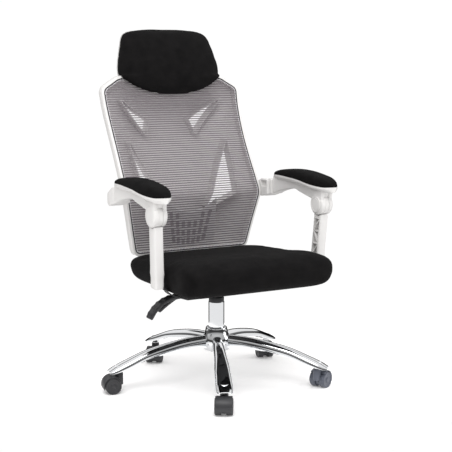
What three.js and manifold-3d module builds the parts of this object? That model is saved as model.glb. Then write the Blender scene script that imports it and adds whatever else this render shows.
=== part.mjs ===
// Gaming chair: five-leg swivel base, gas lift, reclining mesh back with a padded headrest, and
// armrests that fold with the back. Millimetres, X to the sitter's left, Y backwards, Z up.
// The column stands on X = Y = 0 while the pieces are made; the whole chair is centred at the end.
import * as THREE from "three";
import { mergeVertices } from "three/addons/utils/BufferGeometryUtils.js";
import Module from "manifold-3d";

const wasm = await Module();
wasm.setup();

// ---------------------------------------------------------------- driving sizes
const seat_gap = 0.3; // between pieces that touch
const turning_gap = 0.3; // between a shaft and its bore
const panel_gap = 1.1; // between curved pieces

// casters
const wheel_radius = 25;
const wheel_width = 20;
const wheel_sides = 14;
const hood_web = 12.4; // wall between the two wheels
const hood_gap = 1.4; // fender over the tread
const hood_wall = 3;
const hood_width = 50;
const housing_radius = 12.5;
const housing_bottom = 25;
const housing_top = 62.5;
const caster_trail = 22; // stem axis to wheel axle
const caster_axle_radius = 4;
const caster_stem_radius = 5.5;
const stem_sides = 8;
const caster_turns = [-122, 25, 75, -125, 168]; // direction each caster trails, degrees from +X

// five-leg base
const leg_count = 5;
const first_leg_turn = -24.9; // from the chair's front
const stem_circle = 322;
const leg_wall = 2.6;
const leg_end = 356;
const leg_ridge = [[28, 155], [110, 148], [179, 136], [236, 122], [293, 100], [333, 83], [leg_end, 70]];
const leg_height = [[28, 38], [110, 32], [236, 24], [311, 20], [340, 14], [leg_end, 6]];
const leg_half_width = [[28, 18], [110, 19.5], [236, 23.5], [320, 26], [340, 25], [leg_end, 19]];
const socket_radius = 12.5;
const socket_bottom = 66;
const hub_profile = [[43, 107], [45.5, 130], [44, 146], [37, 158], [34, 176], [32.5, 178]];

// column and gas lift
const column_radius = 25;
const column_sides = 20;
const column_wall = 2.5;
const column_bottom = 99;
const column_floor = 4;
const lift_travel = 100;
const cylinder_radius = 14;
const cylinder_wall = 1.7;
const cylinder_bottom = 125;
const rod_radius = 5;
const piston_height = 8;
const bush_length = 70;
const collar_height = 14;
const collar_radius = 24;
const collar_clearance = 5.1; // to the mechanism at the lowest lift
const button_radius = 4;
const button_travel = 3;

// mechanism under the seat
const tray_floor_height = 279;
const tray_height = 36;
const tray_wall = 3;
const tray_half_width = 62;
const tray_flange = 24;
const tray_front = -95;
const tray_nose = [65, 20]; // the floor's slope at the front: along and up
const tray_floor_back = 66;
const tray_back = 106;
const tray_socket_radius = 20;
const tray_bolt_radius = 3.5;
const column_top = tray_floor_height - collar_clearance - collar_height - seat_gap;
const recline_y = 85; // hinge of the back
const recline_z = tray_floor_height + 19;
const recline_shaft_radius = 6;
const shaft_sides = 12;
const lever_hinge = tray_floor_height + 21; // height of both levers' hinges, in the tray's side wall
const lever_rod_radius = 3.5;
const lever_play = 0.5; // round the rod in its hole, which its tilt needs
const lever_paddle_half_width = 13;
const height_lever_y = -45;
const height_lever_line = [ // outside the tray, across and height from the hinge
  [-110, 1], [-150, 0], [-185, -4], [-212, -14], [-238, -34], [-256, -60],
];
const recline_lever_y = 12;
const recline_lever_line = [[-98, -1], [-128, -9], [-155, -22], [-180, -37], [-201, -52]];

// seat
const board_thickness = 14.7;
const board_half_width = 184;
const bracket_board_gap = 1; // the post bracket's bend stands this far beside the board
const board_front = -172;
const board_back = 104;
const board_corner = 40;
const board_reveal = 7; // how far the board stands out of the cushion's underside
const cushion_plan = [ // half outline: across, along and corner radius
  [262, -296, 42], [257, -165, 90], [253, 163, 76],
];
const cushion_under = [ // rise from the underside and inset from the outline
  [0, 60], [5.5, 42], [10.5, 30], [15.5, 20], [21.5, 12], [30, 6], [42, 2.5], [54, 0],
];
const cushion_rake = 1.65; // the underside is drawn in this much further at the front
const cushion_brow = [ // fall from the top and inset from the outline
  [20, 0.5], [9, 4], [3, 10], [0, 20], [-2.5, 45], [-4, 90], [-5, 150],
];
const cushion_top = [ // along and height
  [-296, 414], [-268, 421], [-240, 425], [-209, 426], [-155, 423], [-98, 416], [-40, 411],
  [20, 408], [81, 405], [163, 402],
];
const cushion_bow = 6; // of the front edge

// back: the line of the mesh seen from the side, height to depth
const back_line = [
  [395, 165.5], [480, 153.5], [545, 142.5], [580, 138.5], [620, 158], [700, 205.4], [780, 250.6],
  [860, 287.5], [930, 307], [1000, 327], [1060, 350], [1120, 374],
];
const mesh_bottom = 400;
const mesh_thickness = 1.2;
const mesh_corners = [ // half outline of the mesh: across, height, corner radius
  [200, 400, 16], [239, 580, 20], [235.5, 740, 200], [244, 917, 14], [186, 952, 12],
];
const mesh_top = mesh_corners.at(-1)[1] - panel_gap;
const ring_inside = 6; // frame inside the mesh edge
const ring_outside = 8; // and outside it
const ring_depth = 26;
const ring_lip = 1;

// rear shell
const shell_wall = 4;
const shell_edge = 6; // past the mesh edge, behind the ring
const shell_depth = [[395, 62], [450, 84], [530, 90], [820, 92], [890, 74], [952, 38]];
const shell_bottom = 398;
const shell_top = mesh_top;
const shell_flat = 0.38; // share of the half width that stays at full depth
const shell_flange = 34;
const shell_holes = [
  [[163, 873], [84, 811.5], [99, 770]],
  [[170, 739], [95, 532], [110, 530], [175, 586]],
];
const spine_half_width = 46;
const spine_front = 200;
const spine_back = 258;
const spine_bottom = 412;
const spine_top = 588;
const bar_thickness = 14;
const bar_half_width = 38;

// lumbar pad
const lumbar_depth = 30; // behind the mesh
const lumbar_wall = 3;
const lumbar_half_width = 90;
const lumbar_bottom = 412;
const lumbar_top_centre = 520;
const lumbar_top_side = 565;
const slot_columns = 7;
const slot_rows = 3;
const slot_length = 30;
const slot_width = 5.5;

// headrest
const headrest_half_width = [
  [897, 40], [899, 72], [905, 96], [912, 116], [925, 144], [938, 163], [951, 181], [962, 188], [978, 189],
  [1005, 185], [1032, 178], [1059, 170], [1086, 161], [1097, 152], [1106, 128], [1111, 96], [1113, 60],
];
const headrest_thickness = [
  [897, 4], [903, 10], [912, 16], [925, 23], [938, 28], [955, 33], [1020, 40], [1065, 37], [1092, 29],
  [1104, 20], [1110, 13], [1113, 6],
];
const headrest_overhang = [[962, 17], [1005, 15.5], [1059, 10], [1113, 6]]; // behind the mesh line
const headrest_edge = 5; // radius at the cushion's back
const ring_top = mesh_corners.at(-1)[1] + ring_outside;
const headrest_shell_bottom = ring_top + seat_gap;
const headrest_shell_drop = 7; // below the cushion's top
const headrest_shell_wall = 8;
const headrest_shell_inset = 4; // in from the cushion's sides
const hook_rise = 18; // of the hooks over the plate's foot
const hook_drop = 26; // and behind the ring
const hook_wall = 5.5;
const strap_half_width = 15;
const strap_place = 70;

// armrests
const arm_x = 285;
const knee_y = -160;
const knee_z = 568;
const knee_radius = 33;
const knee_sides = 18;
const knee_width = 43;
const knee_pin_radius = 5;
const knee_play = 2.7; // the post's hole round the knee pin: the fold needs it
const knee_cap_radius = 24.5;
const knee_cap_height = 3;
const tongue_width = 14;
const arm_pivot_y = 128;
const arm_pivot_z = 595;
const arm_pivot_radius = 6;
const arm_web = 36;
const pad_seam = [
  [-224, 625], [-202, 624], [-184, 625.5], [-140, 630], [-80, 637], [-15, 640], [60, 641], [102, 638],
];
const pad_crown = [
  [-224, 630], [-214, 640], [-197, 647], [-175, 653], [-140, 658], [-90, 664], [-40, 666], [15, 663],
  [70, 655], [94, 647], [102, 641],
];
const pad_half_width = [
  [-224, 8], [-217, 18], [-202, 28], [-182, 35.5], [-158, 39.5], [-130, 41], [-100, 40], [-40, 36],
  [20, 31], [70, 26], [94, 17], [102, 8],
];
const lip_height = 17;
const post_width = 29;
const post_depth = 39;
const post_bevel = 6;
const foot_x = 278;
const foot_y = -148;
const foot_over_cushion = 43.7; // the pin over the cushion's underside
const foot_half_width = 13.5;
const foot_drop = 14; // below its pin
const foot_rise = 18; // above its pin, where the foot ends
const foot_pin_radius = 5;
const bracket_wall = 4;
const bracket_half_depth = 13;
const bracket_root = 140;
const bracket_clearance = 2.5; // under the cushion

// ---------------------------------------------------------------- finishes
const finish = (color, roughness, metalness) =>
  new THREE.MeshStandardMaterial({ color, roughness, metalness });
const white_plastic = finish(0xe9e9e6, 0.38, 0);
const grey_mesh = finish(0x8f8c91, 0.8, 0);
const black_fabric = finish(0x141314, 0.95, 0);
const chrome = finish(0xd8dadd, 0.08, 1);
const black_steel = finish(0x1a1a1c, 0.5, 0.4);
const black_plastic = finish(0x202124, 0.45, 0);
const caster_nylon = finish(0x34363c, 0.5, 0);
const bright_steel = finish(0xa9abae, 0.3, 1);
const plywood = finish(0xb9a47c, 0.75, 0);

// ---------------------------------------------------------------- shaping tools
const radians = THREE.MathUtils.degToRad;

// A smooth value along a line of stations, such as width along a height.
function along(stations) {
  const places = stations.map((station) => station[0]);
  const values = stations.map((station) => station[1]);
  const curve = new THREE.CubicInterpolant(places, values, 1);
  return (place) => curve.evaluate(THREE.MathUtils.clamp(place, places[0], places.at(-1)))[0];
}

// The radius of a hole with this many flat sides that a round shaft of this radius turns in.
const clear_of = (radius, sides) => radius / Math.cos(Math.PI / sides);

const spread = (from, to, count) =>
  Array.from({ length: count + 1 }, (_, step) => from + ((to - from) * step) / count);

function solid_of(geometry) {
  const plain = geometry.clone();
  plain.deleteAttribute("normal");
  plain.deleteAttribute("uv");
  const merged = mergeVertices(plain, 1e-4);
  return new wasm.Manifold(
    new wasm.Mesh({
      numProp: 3,
      vertProperties: new Float32Array(merged.attributes.position.array),
      triVerts: new Uint32Array(merged.index.array),
    }),
  );
}

function geometry_of(solid) {
  const mesh = solid.getMesh();
  const geometry = new THREE.BufferGeometry();
  geometry.setAttribute("position", new THREE.BufferAttribute(mesh.vertProperties, 3));
  geometry.setIndex(new THREE.BufferAttribute(mesh.triVerts, 1));
  return geometry;
}

const join = (...pieces) => geometry_of(pieces.map(solid_of).reduce((whole, next) => whole.add(next)));
const cut = (body, ...tools) =>
  geometry_of(tools.map(solid_of).reduce((whole, tool) => whole.subtract(tool), solid_of(body)));
const common = (first, second) => geometry_of(solid_of(first).intersect(solid_of(second)));

// Turns a closed mesh the right way out.
function facing_out(geometry) {
  const place = geometry.attributes.position;
  const index = geometry.index.array;
  const corner = (n) => new THREE.Vector3().fromBufferAttribute(place, index[n]);
  let volume = 0;
  for (let n = 0; n < index.length; n += 3) {
    volume += corner(n).dot(corner(n + 1).cross(corner(n + 2)));
  }
  if (volume < 0) {
    for (let n = 0; n < index.length; n += 3) {
      [index[n], index[n + 1]] = [index[n + 1], index[n]];
    }
  }
  return geometry;
}

function closed_mesh(points, faces) {
  const geometry = new THREE.BufferGeometry().setFromPoints(points);
  geometry.setIndex(faces.flat());
  return facing_out(geometry);
}

// Skins a row of closed sections that have the same number of points, and closes both ends.
function loft(sections) {
  const count = sections[0].length;
  const faces = [];
  for (let row = 0; row < sections.length - 1; row += 1) {
    for (let n = 0; n < count; n += 1) {
      const here = row * count + n;
      const next = row * count + ((n + 1) % count);
      faces.push([here, next, next + count], [here, next + count, here + count]);
    }
  }
  const cap = (section, first, reversed) => {
    const outline = flattened(section);
    const backwards = THREE.ShapeUtils.isClockWise(outline) === reversed;
    THREE.ShapeUtils.triangulateShape(outline, []).forEach(([a, b, c]) => {
      faces.push(backwards ? [first + b, first + a, first + c] : [first + a, first + b, first + c]);
    });
  };
  cap(sections[0], 0, false);
  cap(sections.at(-1), (sections.length - 1) * count, true);
  return closed_mesh(sections.flat(), faces);
}

// A flat section seen square on, along the axis that it faces most.
function flattened(section) {
  const facing = new THREE.Vector3();
  section.forEach((point, n) => facing.add(point.clone().cross(section[(n + 1) % section.length])));
  const [x, y, z] = facing.toArray().map(Math.abs);
  const axes = z >= x && z >= y ? ["x", "y"] : x >= y ? ["y", "z"] : ["x", "z"];
  return section.map((point) => new THREE.Vector2(point[axes[0]], point[axes[1]]));
}

// Closes a section that runs round a loop: sections[n] joins sections[n + 1] and the last the first.
function ring_loft(sections) {
  const count = sections[0].length;
  const faces = [];
  sections.forEach((_, row) => {
    const after = (row + 1) % sections.length;
    for (let n = 0; n < count; n += 1) {
      const next = (n + 1) % count;
      const corners = [row * count + n, row * count + next, after * count + next, after * count + n];
      faces.push([corners[0], corners[1], corners[2]], [corners[0], corners[2], corners[3]]);
    }
  });
  return closed_mesh(sections.flat(), faces);
}

// A panel between a front and a back surface, both given across (-1 to 1) and by height.
function panel(across, heights, front, back) {
  const points = [front, back].flatMap((side) => heights.flatMap((z) => across.map((s) => side(s, z))));
  const columns = across.length;
  const side_size = columns * heights.length;
  const at = (side, row, column) => side * side_size + row * columns + column;
  const faces = [];
  const quad = (a, b, c, d) => faces.push([a, b, c], [a, c, d]);
  for (let row = 0; row < heights.length - 1; row += 1) {
    for (let column = 0; column < columns - 1; column += 1) {
      const corners = [[0, 0], [0, 1], [1, 1], [1, 0]].map(([r, c]) => [row + r, column + c]);
      quad(...corners.map(([r, c]) => at(0, r, c)));
      quad(...corners.map(([r, c]) => at(1, r, c)).reverse());
    }
    quad(at(0, row, 0), at(0, row + 1, 0), at(1, row + 1, 0), at(1, row, 0));
    const last = columns - 1;
    quad(at(1, row, last), at(1, row + 1, last), at(0, row + 1, last), at(0, row, last));
  }
  const top = heights.length - 1;
  for (let column = 0; column < columns - 1; column += 1) {
    quad(at(1, 0, column), at(1, 0, column + 1), at(0, 0, column + 1), at(0, 0, column));
    quad(at(0, top, column), at(0, top, column + 1), at(1, top, column + 1), at(1, top, column));
  }
  return closed_mesh(points, faces);
}

const outline_shape = (points) => new THREE.Shape(points.map(([u, v]) => new THREE.Vector2(u, v)));

function extruded(shape, depth) {
  return new THREE.ExtrudeGeometry(shape, { depth, bevelEnabled: false, curveSegments: 4 });
}

// An outline drawn in depth and height, pushed out across the chair from one X to another.
function side_prism(shape, from, to) {
  const turn = new THREE.Matrix4().makeBasis(
    new THREE.Vector3(0, 1, 0), new THREE.Vector3(0, 0, 1), new THREE.Vector3(1, 0, 0),
  );
  return extruded(shape, to - from).applyMatrix4(turn).translate(from, 0, 0);
}

// An outline drawn across and in height, pushed out from the front Y to the back Y.
function front_prism(shape, from, to) {
  return extruded(shape, to - from).rotateX(Math.PI / 2).translate(0, to, 0);
}

const upright_prism = (shape, from, to) => extruded(shape, to - from).translate(0, 0, from);

function box(x, y, z) {
  return new THREE.BoxGeometry(x[1] - x[0], y[1] - y[0], z[1] - z[0]).translate(
    (x[0] + x[1]) / 2, (y[0] + y[1]) / 2, (z[0] + z[1]) / 2,
  );
}

// Turned about the Z axis, from points of radius and height.
function turned(profile, sides) {
  const points = profile.map(([radius, height]) => new THREE.Vector2(radius, height));
  return new THREE.LatheGeometry([...points, points[0]], sides).rotateX(Math.PI / 2);
}

const post_rod = (radius, from, to, sides = 20) =>
  new THREE.CylinderGeometry(radius, radius, to - from, sides)
    .rotateX(Math.PI / 2).translate(0, 0, (from + to) / 2);
const cross_rod = (radius, from, to, y, z, sides = 20) =>
  new THREE.CylinderGeometry(radius, radius, to - from, sides)
    .rotateZ(Math.PI / 2).translate((from + to) / 2, y, z);

// A loop with rounded corners, each given as across, height and radius.
function rounded_loop(corners, steps = 3) {
  const points = corners.map(([u, v]) => new THREE.Vector2(u, v));
  const loop = [];
  points.forEach((corner, n) => {
    const before = points.at(n - 1);
    const after = points[(n + 1) % points.length];
    const to_before = before.clone().sub(corner);
    const to_after = after.clone().sub(corner);
    const reach = Math.min(corners[n][2], to_before.length() * 0.45, to_after.length() * 0.45);
    const start = corner.clone().addScaledVector(to_before.normalize(), reach);
    const end = corner.clone().addScaledVector(to_after.normalize(), reach);
    loop.push(...new THREE.QuadraticBezierCurve(start, corner, end).getPoints(steps));
  });
  return loop;
}

function with_steps(loop, longest) {
  return loop.flatMap((point, n) => {
    const next = loop[(n + 1) % loop.length];
    const parts = Math.max(1, Math.ceil(point.distanceTo(next) / longest));
    return spread(0, 1, parts).slice(0, -1).map((share) => point.clone().lerp(next, share));
  });
}

function rounded_shape(corners, steps) {
  return new THREE.Shape(rounded_loop(corners, steps));
}

// A closed rounded section: power 1 is an ellipse and smaller is squarer.
function pillow_section(half_width, front, back, height, count, power) {
  const middle = (front + back) / 2;
  const half_depth = (back - front) / 2;
  const soft = (value) => Math.sign(value) * Math.abs(value) ** power;
  return spread(0, 2 * Math.PI, count).slice(0, -1).map((angle) => new THREE.Vector3(
    half_width * soft(Math.cos(angle)), middle + half_depth * soft(Math.sin(angle)), height,
  ));
}

const mirrored = (geometry) => facing_out(mergeVertices(geometry.clone().scale(-1, 1, 1), 1e-5));

const chair = new THREE.Group();

function add(name, geometry, material, group = chair) {
  const mesh = new THREE.Mesh(geometry, material);
  mesh.name = name;
  group.add(mesh);
}

function add_pair(name, left_side, material) {
  add(`${name}_left`, left_side, material);
  add(`${name}_right`, mirrored(left_side), material);
}

// ---------------------------------------------------------------- five-leg base
function leg_section(radius) {
  const ridge = along(leg_ridge)(radius);
  const height = along(leg_height)(radius);
  const half_width = along(leg_half_width)(radius);
  const arch = (wide, tall, steps) => spread(Math.PI, 0, steps).map((angle) => new THREE.Vector3(
    wide * Math.sign(Math.cos(angle)) * Math.abs(Math.cos(angle)) ** 0.7,
    -radius,
    ridge - height + tall * Math.sin(angle) ** 0.75,
  ));
  const inside_wall = Math.min(leg_wall, height / 3);
  return [...arch(half_width, height, 6), ...arch(half_width - leg_wall, height - inside_wall, 3).reverse()];
}

function base_star() {
  const stations = [32, 115, 200, 275, 330, leg_end];
  const ridge_over_socket = along(leg_ridge)(stem_circle);
  const leg = loft(stations.map(leg_section));
  const socket = post_rod(socket_radius, socket_bottom, ridge_over_socket - leg_wall / 2, 8)
    .translate(0, -stem_circle, 0);
  const stem_hole = post_rod(
    clear_of(caster_stem_radius + turning_gap, stem_sides), socket_bottom - 1,
    ridge_over_socket - 2 * leg_wall, stem_sides,
  ).translate(0, -stem_circle, 0);
  const one_leg = cut(join(leg, socket), stem_hole);
  const legs = spread(0, leg_count - 1, leg_count - 1).map((leg_number) =>
    one_leg.clone().rotateZ(radians(first_leg_turn + (360 / leg_count) * leg_number)));
  const bore = column_radius + seat_gap;
  const hub = turned([...hub_profile, [0, hub_profile.at(-1)[1]], [0, hub_profile[0][1]]], 16);
  return cut(join(hub, ...legs), post_rod(bore, column_bottom, column_top, column_sides));
}

add("base_star", base_star(), chrome);

// ---------------------------------------------------------------- column and gas lift
const column_inside = column_radius - column_wall;
const rod_bore = rod_radius + turning_gap;
const bearing_bottom = column_bottom + column_floor + seat_gap;
const bearing_top = bearing_bottom + 5;
const cylinder_floor = 3;
const piston_bottom = cylinder_bottom + lift_travel + cylinder_floor + 4;
const tray_top = tray_floor_height + tray_height;
const cylinder_top = tray_top - 13;
const button_bottom = cylinder_top - 9;
const button_top = cylinder_top + 5;

function column_tube() {
  return turned([
    [rod_bore, column_bottom], [column_radius - 1, column_bottom], [column_radius, column_bottom + 1],
    [column_radius, column_top - 1], [column_radius - 1, column_top], [column_inside, column_top],
    [column_inside, column_bottom + column_floor], [rod_bore, column_bottom + column_floor],
  ], column_sides);
}

function column_bush() {
  const bore = cylinder_radius + turning_gap;
  const outside = column_inside - seat_gap;
  const collar = column_top + seat_gap;
  return turned([
    [bore, column_top - bush_length], [outside, column_top - bush_length], [outside, collar],
    [collar_radius, collar], [collar_radius, collar + collar_height - 2],
    [collar_radius - 2, collar + collar_height], [bore, collar + collar_height],
  ], column_sides);
}

function piston_rod() {
  const shoulder = rod_radius + 4;
  const piston_radius = cylinder_radius - cylinder_wall - turning_gap;
  return turned([
    [0, column_bottom - 2], [rod_radius, column_bottom - 2], [rod_radius, bearing_top + seat_gap],
    [shoulder, bearing_top + seat_gap], [shoulder, bearing_top + 5], [rod_radius, bearing_top + 5],
    [rod_radius, piston_bottom], [piston_radius, piston_bottom],
    [piston_radius, piston_bottom + piston_height], [0, piston_bottom + piston_height],
  ], column_sides / 2);
}

function gas_cylinder() {
  const inside = cylinder_radius - cylinder_wall;
  const valve_bore = button_radius + turning_gap;
  const valve_floor = button_bottom - button_travel - 1;
  return turned([
    [rod_bore, cylinder_bottom], [cylinder_radius - 1, cylinder_bottom],
    [cylinder_radius, cylinder_bottom + 1], [cylinder_radius, cylinder_top - 1],
    [cylinder_radius - 1, cylinder_top], [valve_bore, cylinder_top], [valve_bore, valve_floor],
    [0, valve_floor], [0, valve_floor - 5], [inside, valve_floor - 5],
    [inside, cylinder_bottom + cylinder_floor], [rod_bore, cylinder_bottom + cylinder_floor],
  ], column_sides);
}

add("column_tube", column_tube(), chrome);
add("column_bush", column_bush(), black_plastic);
add("thrust_bearing", turned([
  [rod_bore, bearing_bottom], [rod_radius + 8, bearing_bottom],
  [rod_radius + 8, bearing_top], [rod_bore, bearing_top],
], column_sides / 2), bright_steel);
add("piston_rod", piston_rod(), bright_steel);
add("gas_cylinder", gas_cylinder(), black_steel);
add("release_button", post_rod(button_radius, button_bottom, button_top, 14), bright_steel);

// ---------------------------------------------------------------- mechanism under the seat
const board_bottom = tray_top + seat_gap;
const board_top = board_bottom + board_thickness;

function mechanism_tray() {
  const floor_top = tray_floor_height + tray_wall;
  const wall_inside = tray_half_width - tray_wall;
  const flange_out = tray_half_width + tray_flange;
  const [slope_length, slope_rise] = tray_nose;
  const side_outline = (front, back, floor, top) => outline_shape([
    [front, floor + slope_rise], [front + slope_length, floor], [back, floor], [back, top], [front, top],
  ]);
  const pan = side_prism(
    side_outline(tray_front, tray_back, tray_floor_height, tray_top), -tray_half_width, tray_half_width,
  );
  const hollow = side_prism(
    side_outline(tray_front + tray_wall, tray_back + 1, floor_top, tray_top + 1), -wall_inside, wall_inside,
  );
  const floor_end = box(
    [-wall_inside, wall_inside], [tray_floor_back, tray_back + 1], [tray_floor_height - 1, floor_top + 1],
  );
  const flanges = [-1, 1].map((side) => box(
    [Math.min(side * wall_inside, side * flange_out), Math.max(side * wall_inside, side * flange_out)],
    [tray_front, tray_back], [tray_top - tray_wall, tray_top],
  ));
  const socket = post_rod(tray_socket_radius, tray_floor_height, cylinder_top - 1, 16);
  const lever_holes = [height_lever_y, recline_lever_y].map((y) => cross_rod(
    clear_of(lever_rod_radius + lever_play, 10), -tray_half_width - 1, -wall_inside + 1, y, lever_hinge, 10,
  ));
  const bolt_holes = [-1, 1].flatMap((side) => [tray_front + 18, tray_back - 18].map((y) => post_rod(
    tray_bolt_radius, tray_top - tray_wall - 1, tray_top + 1, 8,
  ).translate(side * (tray_half_width + tray_flange / 2), y, 0)));
  const shaft_hole = cross_rod(
    recline_shaft_radius + turning_gap, -tray_half_width - 1, tray_half_width + 1, recline_y, recline_z,
    shaft_sides,
  );
  const cylinder_hole = post_rod(
    cylinder_radius + seat_gap, tray_floor_height - 1, cylinder_top + 1, column_sides,
  );
  const pressed = cut(pan, hollow, floor_end);
  return cut(join(pressed, ...flanges, socket), cylinder_hole, shaft_hole, ...lever_holes, ...bolt_holes);
}

function recline_shaft() {
  const head = recline_shaft_radius + 4;
  const seat = tray_half_width + seat_gap;
  const heads = [[seat, seat + 4], [-seat - 4, -seat]].map(([from, to]) =>
    cross_rod(head, from, to, recline_y, recline_z, shaft_sides));
  const shaft = cross_rod(recline_shaft_radius, -seat - 1, seat + 1, recline_y, recline_z, shaft_sides);
  return join(shaft, ...heads);
}

// The centre line of a lever, from its inner end through its hinge and out to the paddle's tip.
function lever_line(inner_points, y, outer_points) {
  return new THREE.CatmullRomCurve3([
    ...inner_points.map((point) => new THREE.Vector3(...point)),
    new THREE.Vector3(-tray_half_width, y, lever_hinge),
    ...outer_points.map(([x, rise]) => new THREE.Vector3(x, y, lever_hinge + rise)),
  ], false, "centripetal");
}

// Skins an outline, given across and upwards at each share of the line, along a lever's line.
function along_lever(line, from, to, steps, outline_at) {
  return loft(spread(from, to, steps).map((share) => {
    const middle = line.getPointAt(share);
    const ahead = line.getTangentAt(share);
    const side = new THREE.Vector3(0, 0, 1).cross(ahead).normalize();
    const up = ahead.clone().cross(side);
    return outline_at((share - from) / (to - from)).map(([u, v]) =>
      middle.clone().addScaledVector(side, u).addScaledVector(up, v));
  }));
}

const lever_circle = (radius) => () => spread(0, 2 * Math.PI, 8).slice(0, -1).map((angle) =>
  [radius * Math.cos(angle), radius * Math.sin(angle)]);

const lever_rod = (line) => along_lever(line, 0, rod_share, 10, lever_circle(lever_rod_radius));

// The moulded paddle round the rod's outer end: wide, flat and bent down to its tip.
function lever_paddle(line) {
  const half_width = along([[0, 0.7], [0.3, 0.92], [0.8, 1], [0.95, 0.92], [1, 0.65]]);
  const paddle = along_lever(line, paddle_share, 1, 8, (share) => {
    const wide = lever_paddle_half_width * half_width(share);
    const thick = 7 - 2 * share;
    return [[1, 0.3], [0.75, 1], [-0.75, 1], [-1, 0.3], [-1, -0.3], [-0.75, -1], [0.75, -1], [1, -0.3]]
      .map(([u, v]) => [u * wide, v * thick]);
  });
  const bore = lever_circle(lever_rod_radius + seat_gap * 2);
  return cut(paddle, along_lever(line, paddle_share - 0.05, rod_share + 0.004, 6, bore));
}

const rod_share = 0.72; // of each lever's line, where the rod ends
const paddle_share = 0.52; // and where the paddle starts
const over_button = button_top + seat_gap + lever_rod_radius;
const height_line = lever_line(
  [
    [4, 3, over_button], [-8, -8, over_button],
    [-30, height_lever_y + 11, lever_hinge + 4], [-46, height_lever_y, lever_hinge],
  ],
  height_lever_y,
  height_lever_line,
);
const recline_line = lever_line([[-32, recline_lever_y, lever_hinge]], recline_lever_y, recline_lever_line);

add("mechanism_tray", mechanism_tray(), black_steel);
add("recline_shaft", recline_shaft(), bright_steel);
add("height_lever", lever_rod(height_line), bright_steel);
add("height_lever_grip", lever_paddle(height_line), black_plastic);
add("recline_lever", lever_rod(recline_line), bright_steel);
add("recline_lever_grip", lever_paddle(recline_line), black_plastic);

// ---------------------------------------------------------------- seat
const soft_corners = (half_width, front, back, radius) => [
  [half_width, front, radius], [half_width, back, radius],
  [-half_width, back, radius], [-half_width, front, radius],
];

const cushion_bottom = board_bottom + board_reveal;
const foot_z = cushion_bottom + foot_over_cushion;
const board_outline = (gap) => rounded_shape(soft_corners(
  board_half_width + gap, board_front - gap, board_back + gap, board_corner,
), 5);

// One level loop of the cushion: its outline drawn in by the inset, at a height that may follow the top.
function cushion_ring(inset, height_at, rake = 1) {
  const front = cushion_plan[0][1] + rake * inset;
  const half = cushion_plan.map(([x, y, radius]) =>
    [x - inset, y < 0 ? (y * front) / cushion_plan[0][1] : y - inset, radius]);
  const loop = rounded_loop([...half, ...half.map(([x, y, radius]) => [-x, y, radius]).reverse()]);
  return loop.map((p) => {
    const front_share = THREE.MathUtils.smoothstep(p.y / front, 0.45, 0.95);
    const bow = (cushion_bow + (inset * (rake - 1)) / 2) * (1 - (p.x / cushion_plan[0][0]) ** 2);
    return new THREE.Vector3(p.x, p.y - bow * front_share, height_at(p.y));
  });
}

function seat_cushion() {
  const top = along(cushion_top);
  const body = loft([
    ...cushion_under.map(([rise, inset]) => cushion_ring(inset, () => cushion_bottom + rise, cushion_rake)),
    ...cushion_brow.map(([fall, inset]) => cushion_ring(inset, (y) => top(y) - fall)),
  ]);
  return cut(body, upright_prism(board_outline(seat_gap), board_bottom, board_top + seat_gap));
}

add("seat_board", upright_prism(board_outline(0), board_bottom, board_top), plywood);
add("seat_cushion", seat_cushion(), black_fabric);

// ---------------------------------------------------------------- back frame, mesh and shell
const back_y = along(back_line);
const mesh_loop = rounded_loop([
  ...mesh_corners, ...mesh_corners.map(([x, z, radius]) => [-x, z, radius]).reverse(),
], 2);
const half_loop = mesh_loop.filter((p) => p.x > 0).sort((a, b) => a.y - b.y);

// Half the width of the mesh at a height, read off its outline.
function half_width_at(height) {
  const above = half_loop.findIndex((p) => p.y >= height);
  if (above <= 0) return half_loop[above < 0 ? half_loop.length - 1 : 0].x;
  const [low, high] = [half_loop[above - 1], half_loop[above]];
  return THREE.MathUtils.mapLinear(height, low.y, high.y, low.x, high.x);
}

function back_frame() {
  const loop = with_steps(mesh_loop, 45);
  const section = [
    [-ring_inside, mesh_thickness + panel_gap], [seat_gap, mesh_thickness + panel_gap], [seat_gap, -ring_lip],
    [ring_outside - 2, -ring_lip], [ring_outside, 1], [ring_outside, ring_depth],
    [-ring_inside, ring_depth],
  ];
  const sections = loop.map((point, n) => {
    const before = loop.at(n - 1);
    const after = loop[(n + 1) % loop.length];
    const into = point.clone().sub(before).normalize();
    const out_of = after.clone().sub(point).normalize();
    const outward = new THREE.Vector2(into.y + out_of.y, -into.x - out_of.x).normalize();
    const reach = 1 / Math.max(0.5, outward.dot(new THREE.Vector2(into.y, -into.x)));
    return section.map(([out, depth]) => {
      const place = point.clone().addScaledVector(outward, out * reach);
      return new THREE.Vector3(place.x, back_y(place.y) + depth, place.y);
    });
  });
  return ring_loft(sections);
}

function mesh_panel() {
  const corner = mesh_corners.at(-2)[1];
  const heights = [
    mesh_bottom + 1, 430, 470, 510, 545, 565, 580, 595, 615, 640, ...spread(670, corner - 17, 7),
    corner - 5, corner + 5, mesh_top - 6, mesh_top,
  ];
  const surface = (depth) => (s, z) =>
    new THREE.Vector3(s * (half_width_at(z) - panel_gap), back_y(z) + depth, z);
  return panel([-1, 0, 1], heights, surface(0), surface(mesh_thickness));
}

// The shell's front: level with the ring at its edges and deep behind the sitter's spine.
function shell_front(s, z) {
  const edge = ring_depth + panel_gap;
  const middle = along(shell_depth)(z);
  const rise = THREE.MathUtils.smoothstep(Math.abs(s), shell_flat, 0.94);
  return new THREE.Vector3(
    s * (half_width_at(z) + shell_edge), back_y(z) + middle + (edge - middle) * rise, z,
  );
}

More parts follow.
